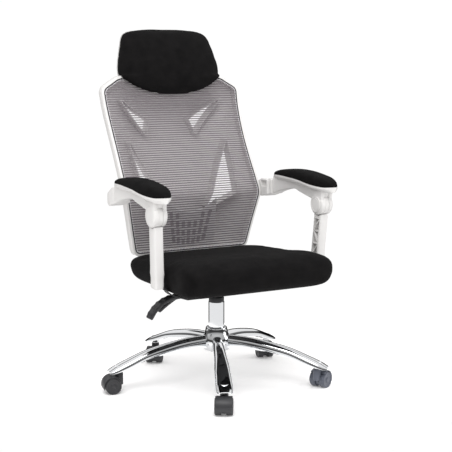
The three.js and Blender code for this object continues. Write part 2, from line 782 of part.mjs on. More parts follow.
// A layer of the shell's form between two distances behind its front surface.
function shell_layer(near, far) {
  const side = [0.38, 0.66, 0.94, 1];
  const across = [...side.map((s) => -s).reverse(), 0, ...side];
  const heights = [
    shell_bottom, 450, 510, 560, 580, 600, 645, 700, 755, 810, 860, 900, 928, shell_top,
  ];
  const pushed = (distance) => (s, z) => shell_front(s, z).add(new THREE.Vector3(0, distance, 0));
  return panel(across, heights, pushed(near), pushed(far));
}

function back_shell() {
  const skin = shell_layer(0, shell_wall);
  const thick = shell_layer(-shell_flange, shell_wall);
  const holes = shell_holes.flatMap((hole) => [hole, hole.map(([x, z]) => [-x, z])]);
  const flanges = holes.map((hole) => {
    const middle = hole.reduce((sum, [x, z]) => [sum[0] + x / hole.length, sum[1] + z / hole.length], [0, 0]);
    const outset = hole.map(([x, z]) => {
      const away = new THREE.Vector2(x - middle[0], z - middle[1]);
      away.setLength(away.length() + 2.5 * shell_wall);
      return [middle[0] + away.x, middle[1] + away.y];
    });
    return common(thick, front_prism(outline_shape(outset), 0, 500));
  });
  const openings = holes.map((hole) => front_prism(rounded_shape(hole.map((p) => [...p, 6]), 1), 0, 500));
  const spine = box(
    [-spine_half_width, spine_half_width], [spine_front, spine_back], [spine_bottom, spine_top],
  );
  const behind = shell_layer(1, 200);
  return cut(join(skin, common(behind, spine), ...flanges), ...openings);
}

function back_bar() {
  const line = spine_back + seat_gap + bar_thickness / 2;
  const middle = new THREE.CatmullRomCurve3([
    [recline_y, recline_z], [recline_y + 55, recline_z], [line - 65, recline_z + 3],
    [line - 23, recline_z + 26], [line - 4, recline_z + 74], [line, recline_z + 118],
    [line, spine_top - 88], [line, spine_top - 8],
  ].map(([y, z]) => new THREE.Vector3(0, y, z)), false, "centripetal");
  const sections = spread(0, 1, 16).map((share) => {
    const place = middle.getPointAt(share);
    const ahead = middle.getTangentAt(share);
    const normal = new THREE.Vector3(0, ahead.z, -ahead.y);
    const wide = bar_half_width - 8 * share;
    const thick = bar_thickness / 2;
    return [[-1, -0.6], [-0.94, -1], [0.94, -1], [1, -0.6], [1, 0.6], [0.94, 1], [-0.94, 1], [-1, 0.6]].map(
      ([u, v]) => place.clone().add(new THREE.Vector3(u * wide, 0, 0)).addScaledVector(normal, v * thick));
  });
  const barrel = cross_rod(
    recline_shaft_radius + 5, -bar_half_width - 8, bar_half_width + 8, recline_y, recline_z, shaft_sides,
  );
  const bore = cross_rod(recline_shaft_radius + turning_gap, -100, 100, recline_y, recline_z, shaft_sides);
  return cut(join(loft(sections), barrel), bore);
}

function lumbar_pad() {
  const across = spread(-1, 1, 6);
  const rows = spread(0, 1, 4);
  const top = (s) => THREE.MathUtils.lerp(lumbar_top_centre, lumbar_top_side, s * s);
  const surface = (depth) => (s, share) => {
    const z = THREE.MathUtils.lerp(lumbar_bottom, top(s), share);
    const hollow = 8 * s * s;
    return new THREE.Vector3(s * lumbar_half_width, back_y(z) + lumbar_depth + depth - hollow, z);
  };
  const slots = [];
  spread(0, slot_columns - 1, slot_columns - 1).forEach((column) => {
    const s = (column - (slot_columns - 1) / 2) / (slot_columns / 2);
    const lean = -0.34 * s;
    spread(0, slot_rows - 1, slot_rows - 1).forEach((row) => {
      const height = lumbar_bottom + 20 + row * (slot_length + 9) + 14 * s * s;
      if (height + slot_length / 2 > top(s) - 8) return;
      slots.push(box([-slot_width / 2, slot_width / 2], [0, 400], [-slot_length / 2, slot_length / 2])
        .rotateY(-lean).translate(s * (lumbar_half_width - 8) + (row - 1) * 9 * s, 0, height));
    });
  });
  const posts = [-1, 1].flatMap((side) => [lumbar_bottom + 26, lumbar_bottom + 98].map((z) => {
    const near = back_y(z) + lumbar_depth + 1;
    const far = back_y(z) + along(shell_depth)(z) + shell_wall;
    return new THREE.CylinderGeometry(5, 5, far - near, 6).translate(side * 18.2, (far + near) / 2, z);
  }));
  const plate = cut(panel(across, rows, surface(0), surface(lumbar_wall)), ...slots);
  return cut(join(plate, ...posts), shell_layer(-seat_gap, 60));
}

add("back_bar", back_bar(), black_steel);
add("back_frame", back_frame(), white_plastic);
add("back_shell", back_shell(), white_plastic);
add("mesh_panel", mesh_panel(), grey_mesh);
add("lumbar_pad", lumbar_pad(), white_plastic);

// ---------------------------------------------------------------- headrest
const in_front = -ring_lip - panel_gap; // the cushion's lower half lies just in front of the ring
const over_ring = ring_top + panel_gap; // and above this it reaches back over the ring
const headrest_width_at = along(headrest_half_width);
const headrest_overhang_at = along(headrest_overhang);

// A level section of the headrest: full across its front, nearly flat behind.
function headrest_section(height, back) {
  const wide = headrest_width_at(height);
  const front = in_front - along(headrest_thickness)(height);
  const side = back - headrest_edge;
  const arch = spread(0, Math.PI, 12).map((angle) => [
    wide * Math.sign(Math.cos(angle)) * Math.abs(Math.cos(angle)) ** 0.62,
    side + (front - side) * Math.sin(angle) ** 0.8,
  ]);
  return [...arch, [headrest_edge - wide, back], [wide - headrest_edge, back]].map(([x, depth]) =>
    new THREE.Vector3(x, back_y(height) + depth, height));
}

function headrest_cushion() {
  const heights = headrest_half_width.map(([z]) => z);
  const low = heights.filter((z) => z < over_ring - 1).map((z) => headrest_section(z, in_front));
  const high = heights.filter((z) => z > over_ring + 2)
    .map((z) => headrest_section(z, headrest_overhang_at(z)));
  return loft([
    ...low, headrest_section(over_ring, in_front),
    headrest_section(over_ring + 1, headrest_overhang_at(over_ring)), ...high,
  ]);
}

function headrest_shell() {
  const top = headrest_half_width.at(-1)[0] - headrest_shell_drop;
  const wide = (z) => headrest_width_at(z) - headrest_shell_inset;
  const between = headrest_half_width.map(([z]) => z)
    .filter((z) => z > headrest_shell_bottom + 8 && z < top - 3);
  const near = (z) => headrest_overhang_at(z) + seat_gap;
  const far = (z) => near(z) + headrest_shell_wall;
  const plate = panel(
    [-1, -0.94, 0, 0.94, 1], [headrest_shell_bottom, ...between, top],
    (s, z) => new THREE.Vector3(s * wide(z), back_y(z) + near(z), z),
    (s, z) => new THREE.Vector3(s * wide(z), back_y(z) + far(z) - (headrest_shell_wall / 2) * s ** 4, z),
  );
  const behind_ring = ring_depth + seat_gap + 0.1;
  const foot = headrest_shell_bottom + 0.4;
  const hook_top = foot + hook_rise;
  const hook_bottom = foot - hook_drop;
  const hook = outline_shape([
    [near(foot) + 3, foot], [behind_ring, foot], [behind_ring, hook_bottom],
    [behind_ring + hook_wall - 1, hook_bottom], [behind_ring + hook_wall, foot + 4],
    [far(hook_top) - 2, hook_top], [near(hook_top) + 3, hook_top],
  ].map(([depth, z]) => [back_y(z) + depth, z]));
  const hooks = [-1, 1].map((side) =>
    side_prism(hook, side * strap_place - strap_half_width, side * strap_place + strap_half_width));
  return join(plate, ...hooks);
}

add("headrest_cushion", headrest_cushion(), black_fabric);
add("headrest_shell", headrest_shell(), white_plastic);

// ---------------------------------------------------------------- armrests
const ring_side = ring_outside + Math.max(
  ...spread(arm_pivot_z - 35, arm_pivot_z + 35, 14).map(half_width_at),
);
const lug_inside = ring_side + seat_gap;
const lug_outside = lug_inside + 12;
const arm_inside = lug_outside + seat_gap;
const web_inside = arm_x - arm_web / 2;
const web_outside = arm_x + arm_web / 2;

const rear_block = [
  [151, 604, 6], [151, 572, 8], [141, 563, 6], [120, 569, 8], [98, 576, 4], [98, 624, 6], [114, 626, 8],
];

function arm_bracket() {
  const plate = side_prism(rounded_shape([
    [166, 612, 6], [166, 572, 6], [141, 563.5, 6], [120, 569.5, 8],
    [103, 575, 4], [103, 622, 6], [140, 624, 8],
  ], 2), lug_inside, lug_outside);
  const pin = cross_rod(arm_pivot_radius, lug_outside - 1, web_outside - 8, arm_pivot_y, arm_pivot_z, 12);
  return join(plate, pin);
}

// The pad and the lip under it share one plan outline along the arm.
function pad_section(y, low, high, inset) {
  const wide = Math.max(2, along(pad_half_width)(y) - inset);
  return spread(0, Math.PI, 8).map((angle) => new THREE.Vector3(
    arm_x + wide * Math.sign(Math.cos(angle)) * Math.abs(Math.cos(angle)) ** 0.55, y,
    low + (high - low) * Math.sin(angle) ** 0.7,
  ));
}

const pad_stations = pad_half_width.map(([y]) => y);

function arm_pad() {
  const seam = along(pad_seam);
  const crown = along(pad_crown);
  return loft(pad_stations.map((y) => pad_section(y, seam(y) + seat_gap, crown(y), 0.6)));
}

function arm_body() {
  const seam = along(pad_seam);
  const lip = loft(pad_stations.map((y) => {
    const wide = along(pad_half_width)(y);
    const low = seam(y) - lip_height;
    return [[1, 0], [-1, 0], [-1, -0.35], [-0.6, -1], [0.6, -1], [1, -0.35]].map(
      ([u, v]) => new THREE.Vector3(arm_x + u * wide, y, seam(y) + v * (seam(y) - low)));
  }));
  const underside = new THREE.SplineCurve([
    [98, 574], [85, 580], [54, 590], [24, 597], [-6, 602], [-34, 604],
  ].map(([y, z]) => new THREE.Vector2(y, z))).getPoints(8);
  const web = side_prism(new THREE.Shape([
    ...underside, ...[[-36, 600], [-130, 582], [-186, 582], [-190, 615]].map((p) => new THREE.Vector2(...p)),
    ...[-140, -80, -15, 60].map((y) => new THREE.Vector2(y, seam(y) - 2)), new THREE.Vector2(98, 634),
  ]), web_inside, web_outside);
  const neck_top = seam(knee_y) - lip_height;
  const neck = side_prism(outline_shape([
    [knee_y - 27, knee_z + 14], [knee_y - 29, neck_top], [knee_y + 31, neck_top], [knee_y + 27, knee_z + 14],
  ]), arm_x - knee_width / 2, arm_x + knee_width / 2);
  const block = side_prism(rounded_shape(rear_block, 2), arm_inside, web_outside);
  const drum = cross_rod(
    knee_radius, arm_x - knee_width / 2, arm_x + knee_width / 2, knee_y, knee_z, knee_sides,
  );
  const tongue_slot = cross_rod(
    knee_radius + knee_play, arm_x - tongue_width / 2 - seat_gap, arm_x + tongue_width / 2 + seat_gap,
    knee_y, knee_z, knee_sides,
  );
  const pin_hole = cross_rod(
    knee_pin_radius + seat_gap, arm_x - knee_width / 2 - 1, arm_x + knee_width / 2 - 5, knee_y, knee_z, 12,
  );
  const pivot_hole = cross_rod(
    arm_pivot_radius + turning_gap, arm_inside - 1, web_outside - 7, arm_pivot_y, arm_pivot_z, 12,
  );
  return cut(join(lip, web, neck, block, drum), tongue_slot, pin_hole, pivot_hole);
}

function knee_pin() {
  const face = arm_x - knee_width / 2 - seat_gap;
  const cap = cross_rod(knee_cap_radius, face - knee_cap_height, face, knee_y, knee_z, knee_sides);
  const cap_face = face - knee_cap_height;
  const groove = cut(
    cross_rod(knee_cap_radius - 4, cap_face - 1, cap_face + 1, knee_y, knee_z, 14),
    cross_rod(knee_cap_radius - 6, cap_face - 2, cap_face + 2, knee_y, knee_z, 14),
  );
  const shaft = cross_rod(knee_pin_radius, face - 1, arm_x + knee_width / 2 - 6, knee_y, knee_z, 12);
  return join(cut(cap, groove), shaft);
}

// The post in its own frame: its foot's pin at the origin and its knee straight above.
function post() {
  const length = Math.hypot(knee_y - foot_y, knee_z - foot_z);
  const lean = Math.atan2(knee_y - foot_y, knee_z - foot_z);
  const half_x = post_width / 2;
  const half_y = post_depth / 2;
  const shoulder = length - knee_radius - knee_play;
  const splay = arm_x - foot_x; // from the foot out to the knee
  const middle_x = (height) =>
    splay * THREE.MathUtils.clamp((height - foot_rise) / (shoulder - foot_rise), 0, 1);
  const stations = [
    [-foot_drop, foot_half_width - 1, half_y - 4.5], [4 - foot_drop, foot_half_width, half_y - 1.5],
    [foot_rise, foot_half_width, half_y], [foot_rise + 13, half_x, half_y + 1.5],
    [foot_rise + 32, half_x, half_y], [shoulder + 8, half_x, half_y],
  ];
  const shaft = loft(stations.map(([height, wide, deep]) => {
    const bevel = Math.min(post_bevel, wide / 2);
    return [[1, 1], [-1, 1], [-1, -1], [1, -1]].flatMap(([x, y]) => {
      const on_side = [x * wide, y * (deep - bevel)];
      const on_face = [x * (wide - bevel), y * deep];
      return x * y > 0 ? [on_side, on_face] : [on_face, on_side];
    }).map(([x, y]) => new THREE.Vector3(middle_x(height) + x, y, height));
  }));
  const cradle = cross_rod(knee_radius + knee_play, -half_x - 1, splay + half_x + 1, 0, length, knee_sides);
  const tongue = join(
    cross_rod(knee_radius, splay - tongue_width / 2, splay + tongue_width / 2, 0, length, knee_sides),
    box([splay - tongue_width / 2, splay + tongue_width / 2], [-12, 12], [shoulder - 6, length - 24]),
  );
  const channel = [38, shoulder - 10];
  const bays = 3;
  const bay = (channel[1] - channel[0]) / bays;
  const follow_splay = new THREE.Matrix4().makeShear(0, 0, 0, 0, splay / (shoulder - foot_rise), 0);
  const pockets = spread(0, bays - 1, bays - 1).flatMap((number) => {
    const low = channel[0] + number * bay;
    const flip = number % 2 ? -1 : 1;
    const reach = 13;
    const rib = 2.6;
    return [
      [[-reach * flip, low + rib], [reach * flip, low + rib], [-reach * flip, low + bay - rib]],
      [[reach * flip, low + 2 * rib + 2], [reach * flip, low + bay], [-reach * flip + 2 * flip, low + bay]],
    ].map((corners) => side_prism(outline_shape(corners), -half_x - 1, half_x - 8)
      .translate(0, 0, -foot_rise).applyMatrix4(follow_splay).translate(0, 0, foot_rise));
  });
  const pin_hole = cross_rod(knee_pin_radius + knee_play, splay - 20, splay + 20, 0, length, 12);
  const foot_hole = cross_rod(foot_pin_radius + turning_gap, -20, foot_half_width - 4, 0, 0, 12);
  return cut(join(cut(shaft, cradle, ...pockets), tongue), pin_hole, foot_hole)
    .rotateX(-lean).translate(foot_x, foot_y, foot_z);
}

// A plate under the board that follows the cushion's underside out and up to the foot's pin.
function post_bracket() {
  const outside = foot_x - foot_half_width - seat_gap;
  const inside = outside - bracket_wall;
  const under = board_bottom - seat_gap;
  const cushion_side = cushion_plan[1][0];
  const upper = [
    [bracket_root, under], [board_half_width + bracket_board_gap, under],
    ...cushion_under.slice(1, 6).map(([rise, inset]) => [
      cushion_side - inset + 1.5, cushion_bottom + rise - bracket_clearance,
    ]),
    [outside, cushion_bottom + cushion_under[5][0] + 2],
  ];
  const lower = upper.map(([x, z]) => [x, z - bracket_wall]).reverse();
  const reach = [foot_y - bracket_half_depth, foot_y + bracket_half_depth];
  const arm = front_prism(outline_shape([...upper, ...lower]), ...reach);
  const cheek_foot = upper.at(-1)[1] - bracket_wall;
  const cheek = side_prism(rounded_shape([
    [reach[0], cheek_foot, 3], [reach[1], cheek_foot, 3],
    [reach[1], foot_z + 12, 12], [reach[0], foot_z + 12, 12],
  ], 2), inside, outside);
  const pin = cross_rod(foot_pin_radius, inside + 1, foot_x + foot_half_width - 5, foot_y, foot_z, 12);
  return join(arm, cheek, pin);
}

add_pair("arm_bracket", arm_bracket(), white_plastic);
add_pair("arm_body", arm_body(), white_plastic);
add_pair("arm_pad", arm_pad(), black_fabric);
add_pair("knee_pin", knee_pin(), white_plastic);
add_pair("post", post(), white_plastic);
add_pair("post_bracket", post_bracket(), black_steel);

// ---------------------------------------------------------------- casters
const wheel_corner = wheel_radius / Math.cos(Math.PI / wheel_sides);
const wheel_inside = hood_web / 2 + 0.6;
const wheel_outside = wheel_inside + wheel_width;

function caster_wheel(side) {
  const bore = caster_axle_radius + turning_gap;
  const profile = [
    [bore, wheel_inside], [wheel_corner, wheel_inside],
    [wheel_corner, wheel_outside - 1.6], [wheel_corner - 1.4, wheel_outside],
    [0, wheel_outside], [0, wheel_outside - 3], [bore, wheel_outside - 3],
  ];
  const wheel = turned(profile, wheel_sides)
    .rotateY(Math.PI / 2).rotateX(Math.PI / 2 + Math.PI / wheel_sides);
  return side > 0 ? wheel : wheel.rotateZ(Math.PI);
}

function caster_hood() {
  const inner = wheel_corner + hood_gap;
  const outer = inner + hood_wall;
  const sector = (radius, from, to) => new THREE.Shape().absarc(0, 0, radius, from, to, false);
  const fender_shape = sector(outer, radians(-18), radians(128));
  fender_shape.absarc(0, 0, inner, radians(128), radians(-18), true);
  const fender = side_prism(fender_shape, -hood_width / 2, hood_width / 2);
  const half_web = hood_web / 2;
  const web = join(
    cross_rod(wheel_radius - 4, -half_web, half_web, 0, 0, 10),
    side_prism(outline_shape([
      [-caster_trail, -4], [4, 2], [inner * 0.5, inner * 0.86], [-4, inner + 1], [-caster_trail, 30],
    ]), -half_web, half_web),
    side_prism(outline_shape([
      [0, 0], [18, 20], [inner * 0.6, inner * 0.85], [-2, inner + 1],
    ]), -half_web, half_web),
  );
  const housing = post_rod(housing_radius, housing_bottom - wheel_radius, housing_top - wheel_radius, 10)
    .translate(0, -caster_trail, 0);
  const keep_clear = cross_rod(inner - 0.4, half_web, hood_width, 0, 0, wheel_sides);
  const keep_clear_too = cross_rod(inner - 0.4, -hood_width, -half_web, 0, 0, wheel_sides);
  const axle_hole = cross_rod(caster_axle_radius + turning_gap, -20, 20, 0, 0, 8);
  const stem_hole = post_rod(caster_stem_radius + seat_gap, 6, 60, stem_sides)
    .translate(0, -caster_trail, 0);
  return cut(join(fender, web, housing), keep_clear, keep_clear_too, axle_hole, stem_hole);
}

function caster_stem() {
  const top = along(leg_ridge)(stem_circle) - 2 * leg_wall - 1 - wheel_radius;
  const low = housing_top - wheel_radius + seat_gap;
  const high = socket_bottom - wheel_radius - seat_gap;
  return turned([
    [0, 7], [caster_stem_radius, 7], [caster_stem_radius, low], [9, low], [9, high],
    [caster_stem_radius, high], [caster_stem_radius, top], [0, top],
  ], stem_sides).translate(0, -caster_trail, 0);
}

const hood = caster_hood();
const stem = caster_stem();
const axle_end = wheel_outside - 3.5;
const axle = cross_rod(caster_axle_radius, -axle_end, axle_end, 0, 0, 8);
caster_turns.forEach((turn, number) => {
  const leg = radians(first_leg_turn + (360 / leg_count) * number);
  const group = new THREE.Group();
  group.position.set(stem_circle * Math.sin(leg), -stem_circle * Math.cos(leg), wheel_radius);
  group.rotation.z = radians(turn - 90);
  const inner_group = new THREE.Group();
  inner_group.position.y = caster_trail;
  group.add(inner_group);
  chair.add(group);
  const name = `caster_${number + 1}`;
  add(`${name}_hood`, hood, caster_nylon, inner_group);
  add(`${name}_stem`, stem, bright_steel, inner_group);
  add(`${name}_axle`, axle, bright_steel, inner_group);
  add(`${name}_wheel_a`, caster_wheel(1), caster_nylon, inner_group);
  add(`${name}_wheel_b`, caster_wheel(-1), caster_nylon, inner_group);
});

// ---------------------------------------------------------------- centre the chair on its box
const bounds = new THREE.Box3().setFromObject(chair, true);
const centre = bounds.getCenter(new THREE.Vector3());
chair.position.set(-centre.x, -centre.y, -bounds.min.z);

export default chair;
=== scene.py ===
"""Gaming chair: chrome five-leg base on casters, gas lift, reclining mesh back and linked armrests.

Pieces are shaped in millimetres with the column's axis on X = Y = 0, and settled() puts each one
in its place in metres, so the numbers here are the same sizes that the solids have.
"""
import math

import bmesh
import bpy
from mathutils import Matrix, Vector


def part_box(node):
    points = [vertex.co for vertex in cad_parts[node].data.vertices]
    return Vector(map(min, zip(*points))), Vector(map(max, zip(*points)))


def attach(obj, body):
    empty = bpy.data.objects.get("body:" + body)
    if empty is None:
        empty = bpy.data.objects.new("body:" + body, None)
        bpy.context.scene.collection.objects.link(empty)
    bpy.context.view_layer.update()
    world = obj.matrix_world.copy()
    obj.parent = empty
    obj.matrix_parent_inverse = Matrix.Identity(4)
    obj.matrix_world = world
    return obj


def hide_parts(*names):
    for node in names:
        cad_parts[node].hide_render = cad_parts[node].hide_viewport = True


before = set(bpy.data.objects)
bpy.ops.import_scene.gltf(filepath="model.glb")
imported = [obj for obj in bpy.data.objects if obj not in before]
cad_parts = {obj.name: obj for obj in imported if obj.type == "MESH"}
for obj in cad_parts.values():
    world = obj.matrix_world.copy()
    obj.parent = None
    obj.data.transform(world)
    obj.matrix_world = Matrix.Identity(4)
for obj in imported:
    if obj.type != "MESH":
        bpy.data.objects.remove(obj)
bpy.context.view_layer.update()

# ------------------------------------------------------------------------------ camera and light
# A chair in a bright white studio: a long lens in front and to the sitter's right, a big soft
# light above it, and a pale floor that fades into the backdrop.
tube_low, tube_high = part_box("column_tube")
column_axis = Vector(((tube_low.x + tube_high.x) / 2, (tube_low.y + tube_high.y) / 2, 0))

camera_turn = math.radians(-28.93)
camera_dip = math.radians(8.31)
camera_reach = 3.391
camera_height = 0.9934
camera = bpy.data.objects.new("camera", bpy.data.cameras.new("camera"))
bpy.context.scene.collection.objects.link(camera)
camera.location = column_axis + Vector(
    (math.sin(camera_turn) * camera_reach, -math.cos(camera_turn) * camera_reach, camera_height))
camera.rotation_euler = (math.radians(90) - camera_dip, 0, camera_turn)
camera.data.lens = 87.55
camera.data.sensor_width = 36
camera.data.shift_x = 0.0212
bpy.context.scene.camera = camera
bpy.context.scene.view_settings.view_transform = "Standard"


def node_of(owner, kind, **values):
    """A new node of a material's or the world's tree, with sockets and settings by name."""
    node = owner.node_tree.nodes.new(kind)
    for key, value in values.items():
        if key in node.inputs:
            node.inputs[key].default_value = value
        else:
            setattr(node, key, value)
    return node


# The room is bright overhead, with dark strips round it, a dark wall behind the chair and a dimmer
# side low down in front of it, which give chrome and plastic their shading. Reflections see the
# strips deeper than they light the room; the backdrop itself is plain white.
studio = bpy.data.worlds.new("studio")
studio.use_nodes = True


def glow_by_height(stops):
    """Brightness by the height looked at, from -1 straight down to 1 straight up."""
    ramp = node_of(studio, "ShaderNodeValToRGB")
    studio.node_tree.links.new(height_share.outputs["Result"], ramp.inputs["Fac"])
    for number, (up, glow) in enumerate(stops):
        place = (up + 1) / 2
        if number < 2:
            stop = ramp.color_ramp.elements[number]
            stop.position = place
        else:
            stop = ramp.color_ramp.elements.new(place)
        stop.color = (glow, glow, glow, 1)
    return ramp.outputs["Color"]


def worked(operation, *values):
    """The outcome of one sum on the world's tree; values are numbers or sockets."""
    node = node_of(studio, "ShaderNodeMath", operation=operation)
    for number, value in enumerate(values):
        if isinstance(value, (int, float)):
            node.inputs[number].default_value = value
        else:
            studio.node_tree.links.new(value, node.inputs[number])
    return node.outputs["Value"]


looked_at = node_of(studio, "ShaderNodeTexCoord")
upward = node_of(studio, "ShaderNodeSeparateXYZ")
studio.node_tree.links.new(looked_at.outputs["Generated"], upward.inputs["Vector"])
height_share = node_of(studio, "ShaderNodeMapRange")
height_share.inputs["From Min"].default_value = -1
studio.node_tree.links.new(upward.outputs["Z"], height_share.inputs["Value"])
towards_front = node_of(studio, "ShaderNodeVectorMath", operation="DOT_PRODUCT")
towards_front.inputs[1].default_value = (math.sin(camera_turn), -math.cos(camera_turn), 0)
studio.node_tree.links.new(looked_at.outputs["Generated"], towards_front.inputs[0])
in_front = node_of(studio, "ShaderNodeMapRange", interpolation_type="SMOOTHSTEP")
in_front.inputs["From Min"].default_value = -0.35
in_front.inputs["From Max"].default_value = 0.55
studio.node_tree.links.new(towards_front.outputs["Value"], in_front.inputs["Value"])
behind_it = node_of(studio, "ShaderNodeMapRange", interpolation_type="SMOOTHSTEP")
behind_it.inputs["From Min"].default_value = -0.45
behind_it.inputs["From Max"].default_value = -0.7
studio.node_tree.links.new(towards_front.outputs["Value"], behind_it.inputs["Value"])
strips = glow_by_height([(-1, 1), (1, 1), (-0.02, 1), (0, 0.42), (0.2, 0.5), (0.27, 0.98), (0.5, 1),
                         (0.53, 0.3), (0.6, 0.3), (0.64, 1)])
low_in_front = worked("MULTIPLY", glow_by_height([(-1, 0), (1, 0), (-0.02, 0), (0, 0.36), (0.15, 0.36),
                                                  (0.7, 0)]), in_front.outputs["Result"])
low_behind = worked("MULTIPLY", glow_by_height([(-1, 0.8), (1, 0), (0.16, 0.8), (0.25, 0)]),
                    behind_it.outputs["Result"])
lit = worked("MULTIPLY", strips, worked("SUBTRACT", 1, low_in_front))
lit = worked("MULTIPLY", lit, worked("SUBTRACT", 1, low_behind))
seen = node_of(studio, "ShaderNodeLightPath")
lit = worked("POWER", lit, worked("MULTIPLY_ADD", seen.outputs["Is Glossy Ray"], 1.5, 1))
lit = worked("MULTIPLY", lit, worked("MULTIPLY_ADD", seen.outputs["Is Glossy Ray"], -0.2, 1.24))
shown = node_of(studio, "ShaderNodeMix")
shown.inputs["B"].default_value = 1.02
studio.node_tree.links.new(seen.outputs["Is Camera Ray"], shown.inputs["Factor"])
studio.node_tree.links.new(lit, shown.inputs["A"])
backdrop = studio.node_tree.nodes["Background"]
backdrop.inputs["Color"].default_value = (1.0, 0.998, 0.996, 1)
studio.node_tree.links.new(shown.outputs["Result"], backdrop.inputs["Strength"])
bpy.context.scene.world = studio


def soft_light(name, place, aim, size, watts):
    lamp = bpy.data.lights.new(name, "AREA")
    lamp.shape = "RECTANGLE"
    lamp.size, lamp.size_y = size
    lamp.energy = watts
    lamp_object = bpy.data.objects.new(name, lamp)
    bpy.context.scene.collection.objects.link(lamp_object)
    lamp_object.location = place
    lamp_object.rotation_mode = "QUATERNION"
    lamp_object.rotation_quaternion = (Vector(aim) - Vector(place)).to_track_quat("-Z", "Y")


soft_light("overhead_box", (-1.2, -1.6, 2.9), (0, 0, 0.5), (2.2, 1.6), 60)
soft_light("side_box", (2.6, -1.4, 1.6), (0, 0, 0.7), (1.2, 2.2), 22)

# ------------------------------------------------------------------------------ five-leg base
# A star pressed and welded from steel and chromed: five hollow legs, open underneath, curve down
# from a welded hub to the sockets of the casters.
def settled(bm, name, material, body, nodes=(), slot=None, sharp=40):
    """Closes the shape, puts it in place in metres and hands it to its body."""
    bmesh.ops.remove_doubles(bm, verts=bm.verts, dist=0.002)
    bmesh.ops.recalc_face_normals(bm, faces=bm.faces)
    bmesh.ops.scale(bm, vec=(0.001, 0.001, 0.001), verts=bm.verts)
    bmesh.ops.translate(bm, vec=column_axis, verts=bm.verts)
    mesh = bpy.data.meshes.new(name)
    bm.to_mesh(mesh)
    bm.free()
    mesh.polygons.foreach_set("use_smooth", [True] * len(mesh.polygons))
    mesh.set_sharp_from_angle(angle=math.radians(sharp))
    mesh.materials.append(material)
    piece = bpy.data.objects.new(name, mesh)
    bpy.context.scene.collection.objects.link(piece)
    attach(piece, body)
    if nodes:
        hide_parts(*nodes)
    return piece


def finish_named(name, color, roughness, metallic=0.0, **sockets):
    """A Principled finish; the keyword names are sockets with underscores for spaces."""
    material = bpy.data.materials.new(name)
    material.use_nodes = True
    shader = material.node_tree.nodes["Principled BSDF"]
    shader.inputs["Base Color"].default_value = (*color, 1)
    shader.inputs["Roughness"].default_value = roughness
    shader.inputs["Metallic"].default_value = metallic
    for socket, value in sockets.items():
        shader.inputs[socket.replace("_", " ")].default_value = value
    return material


def speckled(material, socket, scale, low, high, detail=4.0):
    """Drives a number of the finish between two values with fine noise on the piece."""
    tree = material.node_tree
    place = node_of(material, "ShaderNodeTexCoord")
    noise = node_of(material, "ShaderNodeTexNoise", Scale=scale, Detail=detail)
    span = node_of(material, "ShaderNodeMapRange")
    span.inputs["To Min"].default_value = low
    span.inputs["To Max"].default_value = high
    tree.links.new(place.outputs["Object"], noise.inputs["Vector"])
    tree.links.new(noise.outputs["Fac"], span.inputs["Value"])
    tree.links.new(span.outputs["Result"], tree.nodes["Principled BSDF"].inputs[socket])


def tinted(material, scale, dark, light, detail=3.0):
    """Drives the colour of the finish between two tones with noise on the piece."""
    tree = material.node_tree
    place = node_of(material, "ShaderNodeTexCoord")
    noise = node_of(material, "ShaderNodeTexNoise", Scale=scale, Detail=detail)
    ramp = node_of(material, "ShaderNodeValToRGB")
    ramp.color_ramp.elements[0].position, ramp.color_ramp.elements[1].position = 0.3, 0.7
    ramp.color_ramp.elements[0].color = (*dark, 1)
    ramp.color_ramp.elements[1].color = (*light, 1)
    tree.links.new(place.outputs["Object"], noise.inputs["Vector"])
    tree.links.new(noise.outputs["Fac"], ramp.inputs["Fac"])
    tree.links.new(ramp.outputs["Color"], tree.nodes["Principled BSDF"].inputs["Base Color"])


def grained(material, scale, strength, distance=0.0002, detail=2.0):
    """Gives the finish a fine moulded or cast grain."""
    tree = material.node_tree
    place = node_of(material, "ShaderNodeTexCoord")
    noise = node_of(material, "ShaderNodeTexNoise", Scale=scale, Detail=detail)
    bump = node_of(material, "ShaderNodeBump", Strength=strength, Distance=distance)
    tree.links.new(place.outputs["Object"], noise.inputs["Vector"])
    tree.links.new(noise.outputs["Fac"], bump.inputs["Height"])
    tree.links.new(bump.outputs["Normal"], tree.nodes["Principled BSDF"].inputs["Normal"])


def along(stations):
    """A smooth value along a line of (place, value) stations."""
    def value(place):
        place = min(max(place, stations[0][0]), stations[-1][0])
        number = max(n for n in range(len(stations) - 1) if stations[n][0] <= place)
        slopes = [(after[1] - before[1]) / (after[0] - before[0])
                  for before, after in zip(stations, stations[1:])]
        (left, start), (right, end) = stations[number], stations[number + 1]
        share = (place - left) / (right - left)
        slope_in = (slopes[number] + slopes[max(number - 1, 0)]) / 2 * (right - left)
        slope_out = (slopes[number] + slopes[min(number + 1, len(slopes) - 1)]) / 2 * (right - left)
        square, cube = share * share, share ** 3
        return ((2 * cube - 3 * square + 1) * start + (cube - 2 * square + share) * slope_in
                + (3 * square - 2 * cube) * end + (cube - square) * slope_out)
    return value


def bent_grid(columns, rows, surface, bm=None):
    """Adds a flat grid bent to a form: surface takes 0 to 1 across and 0 to 1 along."""
    bm = bm or bmesh.new()
    made = bmesh.ops.create_grid(bm, x_segments=columns, y_segments=rows, size=0.5)
    for vert in made["verts"]:
        vert.co = surface(vert.co.x + 0.5, vert.co.y + 0.5)
    return bm


def skinned(sections, bm=None, capped=True):
    """Adds a skin over closed sections that have the same number of points each."""
    bm = bm or bmesh.new()
    count, last = len(sections[0]), len(sections) - 1

    def surface(across, upwards):
        return Vector(sections[round(upwards * last)][round(across * count) % count])
    made = bent_grid(count, last, surface, bm)
    bmesh.ops.remove_doubles(bm, verts=bm.verts, dist=0.002)
    if capped:
        bmesh.ops.holes_fill(bm, edges=[e for e in bm.edges if e.is_boundary], sides=0)
    return made


